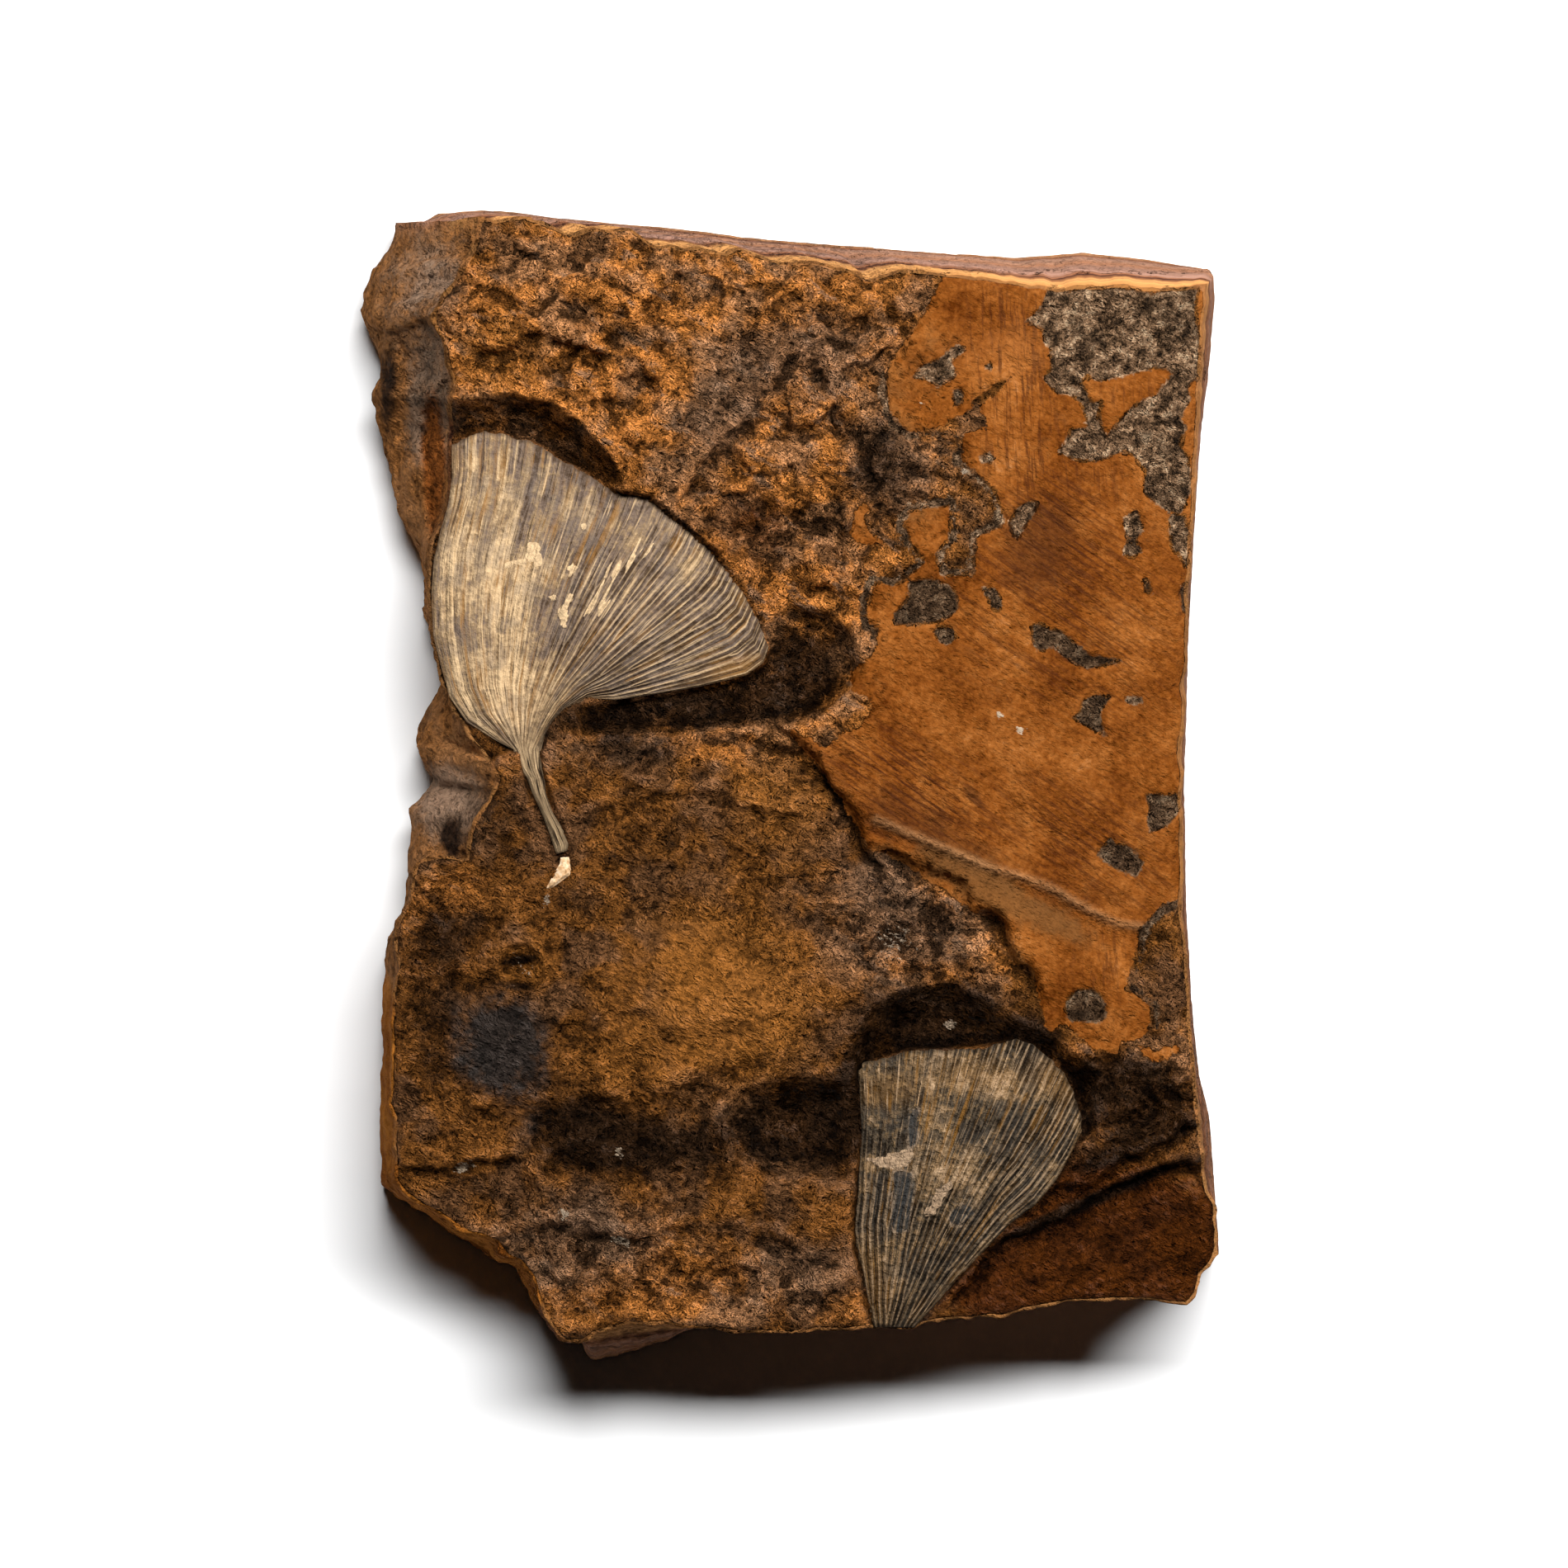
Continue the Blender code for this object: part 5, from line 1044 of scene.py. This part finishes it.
class Graph:
    """Short names for building a material's nodes. An input is a number, a colour or a node's socket."""

    def __init__(self, name, roughness, specular=0.08):
        self.material = bpy.data.materials.new(name)
        self.material.use_nodes = True
        self.tree = self.material.node_tree
        self.shader = self.tree.nodes["Principled BSDF"]
        self.shader.inputs["Roughness"].default_value = roughness
        self.shader.inputs["Specular IOR Level"].default_value = specular
        place = self.node("ShaderNodeTexCoord").outputs["Object"]
        self.place = self.vector("MULTIPLY", place, (1 / MM, 1 / MM, 1 / MM))

    def node(self, kind, settings=None, **inputs):
        made = self.tree.nodes.new(kind)
        for key, value in (settings or {}).items():
            setattr(made, key, value)
        for key, value in inputs.items():
            self.feed(made.inputs[key], value)
        return made

    def feed(self, socket, value):
        if isinstance(value, bpy.types.NodeSocket):
            self.tree.links.new(value, socket)
        else:
            socket.default_value = value

    def vector(self, operation, a, b, output="Vector"):
        made = self.node("ShaderNodeVectorMath", {"operation": operation})
        self.feed(made.inputs[0], a)
        self.feed(made.inputs[1], b)
        return made.outputs[output]

    def turned(self, angle, factors):
        """The place turned about the upright axis and then stretched."""
        made = self.node("ShaderNodeMapping", {"vector_type": "TEXTURE"}, Vector=self.place)
        made.inputs["Rotation"].default_value = (0, 0, np.radians(angle))
        made.inputs["Scale"].default_value = factors
        return made.outputs[0]

    def noise(self, size, detail=3.0, rough=0.6, place=None):
        return self.node("ShaderNodeTexNoise", Vector=place or self.place, Scale=1.0 / size, Detail=detail,
                         Roughness=rough).outputs["Fac"]

    def value(self, name):
        return self.node("ShaderNodeAttribute", {"attribute_name": name}).outputs["Fac"]

    def math(self, operation, a, b=0.0, c=0.0):
        made = self.node("ShaderNodeMath", {"operation": operation})
        for socket, value in zip(made.inputs, (a, b, c)):
            self.feed(socket, value)
        return made.outputs[0]

    def times(self, a, b, plus=0.0):
        return self.math("MULTIPLY_ADD", a, b, plus)

    def weighted(self, start, *pairs):
        for value, weight in pairs:
            start = self.times(value, weight, start)
        return start

    def step(self, value, low, high):
        """0 under low and 1 over high, eased between, and the other way round where low is over high."""
        made = self.node("ShaderNodeMapRange", {"interpolation_type": "SMOOTHSTEP"}, Value=value)
        made.inputs["From Min"].default_value = low
        made.inputs["From Max"].default_value = high
        return made.outputs["Result"]

    def ramp(self, value, *stops):
        made = self.node("ShaderNodeValToRGB", Fac=value)
        elements = made.color_ramp.elements
        while len(elements) < len(stops):
            elements.new(1.0)
        for element, (position, colour) in zip(elements, stops):
            element.position = position
            element.color = (*colour, 1.0)
        return made.outputs["Color"]

    def mix(self, share, a, b, blend="MIX"):
        made = self.node("ShaderNodeMix", {"data_type": "RGBA", "blend_type": blend})
        for socket, value in zip((made.inputs[0], made.inputs[6], made.inputs[7]), (share, a, b)):
            self.feed(socket, (*value, 1.0) if isinstance(value, tuple) and len(value) == 3 else value)
        return made.outputs[2]

    def over(self, colour, share, amount, top):
        """A colour with another laid over it, as far as share and amount say."""
        return self.mix(self.times(share, amount), colour, top)

    def facets(self, size):
        """Small tilted planes of about this size: how high they are, and a shade for each."""
        wave = self.node("ShaderNodeTexNoise", Vector=self.place, Scale=0.6 / size).outputs["Color"]
        place = self.vector("ADD", self.place, wave)
        cell = self.node("ShaderNodeTexVoronoi", Vector=place, Scale=1.0 / size).outputs
        shade = self.node("ShaderNodeSeparateColor", Color=cell["Color"]).outputs["Red"]
        apart = self.vector("SUBTRACT", place, cell["Position"])
        slope = self.vector("SUBTRACT", cell["Color"], (0.5, 0.5, 0.5))
        return self.vector("DOT_PRODUCT", apart, slope, "Value"), shade

    def bump(self, height, distance, normal=None):
        made = self.node("ShaderNodeBump", Height=height, Distance=distance * MM, Strength=1.0)
        if normal:
            self.feed(made.inputs["Normal"], normal)
        return made.outputs["Normal"]

    def finish(self, colour, normal, dim=0.83):
        dimmed = self.mix(1.0, colour, (dim, dim, dim), "MULTIPLY")
        self.feed(self.shader.inputs["Base Color"], dimmed)
        self.feed(self.shader.inputs["Normal"], normal)
        return self.material


class Rock(Graph):
    """The rock's material, by regions that the mesh marks and that noise frays."""

    def __init__(self):
        super().__init__("ironstone", 0.60, 0.02)
        fray = self.math("SUBTRACT", self.noise(1.3, 4, 0.7), 0.5)
        fray_wide = self.math("SUBTRACT", self.noise(6.0, 3, 0.6), 0.5)
        self.where = {}
        for name, (fine, wide, low, high) in REGIONS.items():
            frayed = self.weighted(self.value(name), (fray_wide, wide), (fray, fine))
            self.where[name] = self.step(frayed, low, high)

        # Broken grain: small tilted planes, and a scaly unevenness that runs a little more sideways than up
        wide_tilt, wide_shade = self.facets(2.4)
        small_tilt, small_shade = self.facets(0.95)
        grain = self.noise(0.85, 2, 0.60, self.turned(12, (1.25, 0.8, 1.0)))
        sand = self.sand = self.noise(0.9, 3, 0.72, self.turned(-28, (1.35, 0.80, 1.0)))
        patchy = self.patchy = self.noise(3.4, 4, 0.62, self.turned(-30, (1.7, 0.75, 1.0)))
        cloud = self.cloud = self.noise(9.0, 5, 0.62)
        self.hackle = self.weighted(0.0, (wide_tilt, 1.0), (small_tilt, 2.2), (grain, 0.6))
        flaky = self.weighted(0.0, (patchy, 0.36), (sand, 0.34), (small_shade, 0.18), (wide_shade, 0.12))
        even = self.weighted(0.0, (cloud, 0.26), (patchy, 0.18), (sand, 0.44), (small_shade, 0.12))
        # This tone value follows the sand grain of the bumps and how far the face lies over what is round it,
        # so it paints shade into pits and light onto crests, over random tone.
        self.mottle_and_relief_shade = self.weighted(even, (self.where["hackly"], self.math("SUBTRACT", flaky, even)),
                                    (self.value("hollow"), 0.15))

    def shades(self, tone, low=0.36, high=0.65):
        """A colour from the dark of its pits to the light of its crests: random tone, with painted shade in
        the pits and painted light and a grey glint on the crests.
        """
        width = (high - low) / (len(SHADES) - 1)
        return self.ramp(self.mottle_and_relief_shade, *(
            (low + width * k, tuple(min(1.0, part * factor + lift) for part in tone))
            for k, (factor, lift) in enumerate(SHADES)))

    def cloudy(self, low, high, start=0.38, end=0.62):
        return self.ramp(self.cloud, (start, low), (end, high))

    def rough_face(self):
        where, hackly = self.where, self.where["hackly"]
        blend = self.step(self.noise(7.5, 3, 0.55), 0.44, 0.60)
        colour = self.mix(
            hackly, self.mix(blend, self.shades((0.200, 0.073, 0.015)), self.shades((0.146, 0.064, 0.025))),
            self.mix(blend, self.shades((0.430, 0.152, 0.031)), self.shades((0.350, 0.155, 0.060))))
        patches = self.times(self.step(self.patchy, 0.55, 0.66), hackly)
        colour = self.over(colour, patches, 0.75, self.shades((0.140, 0.084, 0.050)))
        colour = self.over(colour, where["ochre"], 0.85, self.shades((0.285, 0.104, 0.019), 0.34, 0.66))
        colour = self.over(colour, where["grey"], 0.8, self.shades((0.152, 0.087, 0.050)))
        drawn = self.step(self.noise(1.0, 3, 0.7, self.turned(24, (10.0, 0.8, 1.0))), 0.44, 0.62)
        red = self.over(self.shades((0.040, 0.009, 0.0010)), drawn, 0.6, self.shades((0.088, 0.021, 0.0024)))
        colour = self.over(colour, where["deep_red"], 0.9, red)
        # The dark region: dark staining, and painted shade in the hollows, grooves, ledge shadows and round
        # the leaves.
        dark = self.mix(self.value("pane"), self.shades((0.019, 0.009, 0.004)),
                        self.shades((0.026, 0.023, 0.021)))
        return self.over(colour, where["dark"], 0.95, dark)

    def smooth_skin(self):
        """Orange, with streaks, stain colours and the pale line of the crest, a painted highlight, laid over
        it in turn.
        """
        colour = self.ramp(
            self.times(self.noise(0.9, 3, 0.65), 0.40, self.times(self.cloud, 0.62)),
            (0.36, (0.090, 0.020, 0.001)), (0.50, (0.215, 0.061, 0.008)), (0.62, (0.325, 0.107, 0.020)),
            (0.74, (0.44, 0.176, 0.054)))
        upright = self.step(self.noise(1.0, 4, 0.75, self.turned(3, (0.7, 8.0, 1.0))), 0.48, 0.62)
        slant = self.step(self.noise(1.0, 4, 0.75, self.turned(-34, (8.0, 0.6, 1.0))), 0.45, 0.62)
        for share, amount, top in (
                (self.times(upright, self.value("upright")), 0.85, (0.065, 0.016, 0.004)),
                (self.times(slant, self.value("slant")), 0.92, (0.055, 0.014, 0.004)),
                (self.where["deep_red"], 0.6, (0.060, 0.018, 0.005)),
                (self.where["ochre"], 0.5, (0.43, 0.155, 0.040)),
                (self.where["grey"], 0.6, (0.150, 0.070, 0.022)),
                # The crest's pale line is a painted highlight.
                (self.value("crest"), 0.55, (0.56, 0.27, 0.110))):
            colour = self.over(colour, share, amount, top)
        return colour

    def crystals(self):
        colour = self.ramp(self.noise(1.9, 5, 0.76), (0.34, (0.014, 0.009, 0.006)),
                           (0.44, (0.080, 0.044, 0.022)), (0.54, (0.30, 0.170, 0.090)),
                           (0.66, (0.66, 0.45, 0.27)))
        front = self.step(self.node("ShaderNodeSeparateXYZ", Vector=self.place).outputs["Y"], 36.0, 24.0)
        colour = self.over(colour, front, 0.6, (0.050, 0.026, 0.013))
        return self.over(colour, self.step(self.noise(4.0, 3), 0.50, 0.62), 0.5, (0.040, 0.024, 0.014))

    def sides(self):
        """Banded beds at the back, a weathered flank on the left and dull beds elsewhere."""
        where = self.where
        height = self.node("ShaderNodeSeparateXYZ", Vector=self.place).outputs["Z"]
        layer = self.math("DIVIDE", self.times(self.noise(18.0, 4, 0.6), 3.0, height), FACE_HEIGHT + 3.0)
        lined = self.node("ShaderNodeCombineXYZ", Z=self.times(layer, 40.0)).outputs[0]
        lines = self.step(self.noise(1.0, 3, 0.7, lined), 0.45, 0.62)
        beds = self.over(self.ramp(layer, *BEDS), lines, 0.45, (0.13, 0.055, 0.034))
        flank = self.over(self.shades((0.30, 0.120, 0.034)), self.step(self.noise(9.0, 4, 0.6), 0.42, 0.58),
                          0.5, self.cloudy((0.17, 0.082, 0.036), (0.34, 0.165, 0.070)))
        flank = self.over(flank, where["grey"], 0.8, self.cloudy((0.19, 0.128, 0.086), (0.31, 0.205, 0.140)))
        flank = self.mix(where["deep_red"], flank, self.shades((0.20, 0.060, 0.012)))
        # Dark staining on the sides, and painted shade on the unlit facet under the front rim.
        flank = self.mix(where["dark"], flank, self.shades((0.030, 0.015, 0.008)))
        # The front and right sides are painted darker, partly a painted shade of the sides turned away from
        # the light.
        dull = self.mix(0.60, beds, self.shades((0.130, 0.048, 0.016)))
        walls = self.mix(where["back"], self.mix(where["left"], dull, flank), beds)
        bevel = self.cloudy((0.25, 0.076, 0.011), (0.44, 0.155, 0.024), 0.40, 0.60)
        return self.mix(where["bevel"], walls, bevel)

    def surface(self):
        """The bumps, which are weaker on the skin, the sides and the smooth facets."""
        skin, side = self.where["skin"], self.where["side"]
        calm = self.times(skin, -0.85, 1.0)
        for share, fall, rest in ((side, -0.60, 1.0), (self.value("pane"), -0.65, 1.0),
                                  (self.where["hackly"], 0.62, 0.38)):
            calm = self.times(calm, self.times(share, fall, rest))
        sandy = self.times(self.times(skin, -0.72, 1.0), self.times(side, -0.60, 1.0))
        normal = self.bump(self.times(self.hackle, calm), 3.2)
        normal = self.bump(skin, 0.40, normal)
        return self.bump(self.times(self.sand, sandy), 2.10, normal)


def rock_material():
    g = Rock()
    face = g.mix(g.where["skin"], g.rough_face(), g.smooth_skin())
    face = g.mix(g.where["grit"], face, g.crystals())
    fleck = g.step(g.math("ADD", g.value("fleck"), g.times(g.sand, 2.4, -1.2)), 0.62, 0.78)
    face = g.mix(fleck, face, g.mix(g.step(g.sand, 0.40, 0.60), (0.20, 0.13, 0.08), (0.48, 0.36, 0.25)))
    g.feed(g.shader.inputs["Roughness"], g.times(g.where["side"], 0.40, 0.55))
    return g.finish(g.mix(g.where["side"], face, g.sides()), g.surface())


def leaf_material(name, fan):
    """Mineral film in strands along the veins."""
    dark, grey, tan, pale, ochre = fan["tones"]
    groove, window_tone, crust_tone, mottled = (
        fan[key] for key in ("groove", "window_tone", "crust_tone", "mottled"))
    g = Graph(name, 0.55, 0.06)
    across, run, ridge, inside_window = (g.value(key) for key in ("across", "run", "ridge", "window"))

    def strand(width, length, detail, offset):
        place = g.node("ShaderNodeCombineXYZ", X=g.math("DIVIDE", across, width),
                       Y=g.math("DIVIDE", run, length), Z=offset).outputs[0]
        return g.noise(1.0, detail, 0.65, place)

    fine, hair = strand(0.62, 8.0, 2.0, 7.0), strand(0.36, 11.0, 2.0, 11.0)
    speck = g.noise(0.9, 3, 0.65)
    mixed = g.weighted(
        -0.120 - 0.14 * mottled, (g.value("pale"), 0.170), (g.noise(6.0, 5, 0.65), 0.26 + 0.40 * mottled),
        (speck, 0.22 + 0.10 * mottled), (strand(2.4, 18.0, 3.0, 3.0), 0.22 - 0.10 * mottled),
        (fine, 0.30 - 0.12 * mottled), (g.value("tone"), 0.10))
    colour = g.ramp(mixed, (0.40, dark), (0.465, grey), (0.53, tan), (0.61, pale))
    clouded = g.weighted(0.0, (fine, 0.4 - 0.2 * mottled), (g.noise(4.5, 3, 0.6), 0.6 + 0.2 * mottled))
    colour = g.over(colour, g.step(clouded, 0.49, 0.57), 0.42,
                    tuple(0.5 * (a + b) for a, b in zip(grey, window_tone)))
    rust = g.times(g.step(strand(0.9, 14.0, 3.0, 19.0), 0.50, 0.66), g.step(g.noise(7.0, 3, 0.6), 0.38, 0.54))
    colour = g.over(colour, g.math("MAXIMUM", rust, g.value("rusty")), 0.80, ochre)
    colour = g.over(colour, g.step(hair, 0.58, 0.74), 0.80, pale)
    colour = g.over(colour, g.step(hair, 0.42, 0.28), 0.85, dark)
    frayed = g.times(g.math("SUBTRACT", g.noise(1.4, 4), 0.5), 2.6, inside_window)
    window = g.step(frayed, -0.15, 0.35)
    colour = g.over(colour, window, 0.72, window_tone)
    colour = g.over(colour, g.times(window, g.step(inside_window, 0.30, 0.05)), 0.5, crust_tone)
    uneven = g.step(g.times(g.noise(5.0), 0.4, strand(0.9, 6.0, 3.0, 23.0)), 0.45, 0.85)
    # Dark grooves and pale vein tops: partly the film's own colour, partly painted shade in the grooves and a
    # painted highlight on the tops.
    colour = g.over(colour, g.step(ridge, 0.40, 0.05), g.times(uneven, 0.35, 0.6), groove)
    colour = g.over(colour, g.times(g.step(ridge, 0.74, 0.98), uneven), fan["tops"], pale)
    stem = g.mix(g.step(strand(3.5, 8.0, 3.0, 37.0), 0.38, 0.54), tan, crust_tone)
    cords = g.step(strand(6.0, 10.0, 2.0, 31.0), 0.36, 0.46)
    colour = g.mix(g.value("neck"), colour, g.mix(cords, groove, stem))
    edge = g.step(g.times(g.noise(1.5), -1.2, g.value("depth")), 0.1, -0.6)
    colour = g.over(colour, edge, 0.6, dark)
    chalk = g.mix(g.step(g.noise(0.6, 3), 0.4, 0.6), tuple(0.70 * part for part in crust_tone), crust_tone)
    colour = g.mix(g.step(g.value("crust"), -0.02, 0.06), colour, chalk)
    normal = g.bump(g.times(hair, 0.8, fine), 0.30)
    return g.finish(colour, g.bump(speck, 0.40 + 0.5 * mottled, normal))


def crust_material():
    g = Graph("cream_crust", 0.75)
    grain = g.noise(0.7, 5, 0.7)
    colour = g.ramp(grain, (0.32, (0.42, 0.22, 0.09)), (0.48, (0.78, 0.49, 0.26)), (0.62, (0.90, 0.68, 0.45)))
    return g.finish(colour, g.bump(grain, 0.35))


def studio():
    """A plain white table, a key light from the back and a camera straight above."""
    scene = bpy.context.scene
    bpy.ops.mesh.primitive_plane_add(size=TABLE_SIZE, location=(0, 0, 0))
    table = bpy.context.object
    table.name = "table"
    white = Graph("white_table", 0.9)
    tone = white.noise(400.0, 2)
    paper = white.ramp(tone, (0.0, (0.94, 0.94, 0.94)), (1.0, (0.96, 0.96, 0.96)))
    table.data.materials.append(white.finish(paper, white.bump(tone, 0.01), 1.0))

    data = bpy.data.lights.new("key", "AREA")
    data.shape = "RECTANGLE"
    data.size, data.size_y = LIGHT_SIZE
    data.energy = LIGHT_POWER
    lamp = bpy.data.objects.new("key", data)
    scene.collection.objects.link(lamp)
    lamp.location = LIGHT_PLACE
    lamp.rotation_euler = (-np.arctan2(lamp.location.y, lamp.location.z), 0, 0)

    world = bpy.data.worlds.new("studio")
    world.use_nodes = True
    world.node_tree.nodes["Background"].inputs["Color"].default_value = (1, 1, 1, 1)
    world.node_tree.nodes["Background"].inputs["Strength"].default_value = SKY_STRENGTH
    scene.world = world
    scene.view_settings.view_transform = "Standard"

    lens = bpy.data.cameras.new("camera")
    camera = bpy.data.objects.new("camera", lens)
    scene.collection.objects.link(camera)
    lens.sensor_width = SENSOR_WIDTH
    lens.lens = SENSOR_WIDTH * SIGHT_DISTANCE / (VIEW_STEPS * STEP)
    camera.location = (-MIDDLE[0] * MM, -MIDDLE[1] * MM, (SIGHT_DISTANCE + FACE_HEIGHT) * MM)
    lens.clip_start, lens.clip_end = 0.05, 20.0
    scene.camera = camera


build_rock(rock_material())
build_leaf("large_leaf", LARGE_LEAF)
build_leaf("small_leaf", SMALL_LEAF)
build_flake(crust_material())
studio()
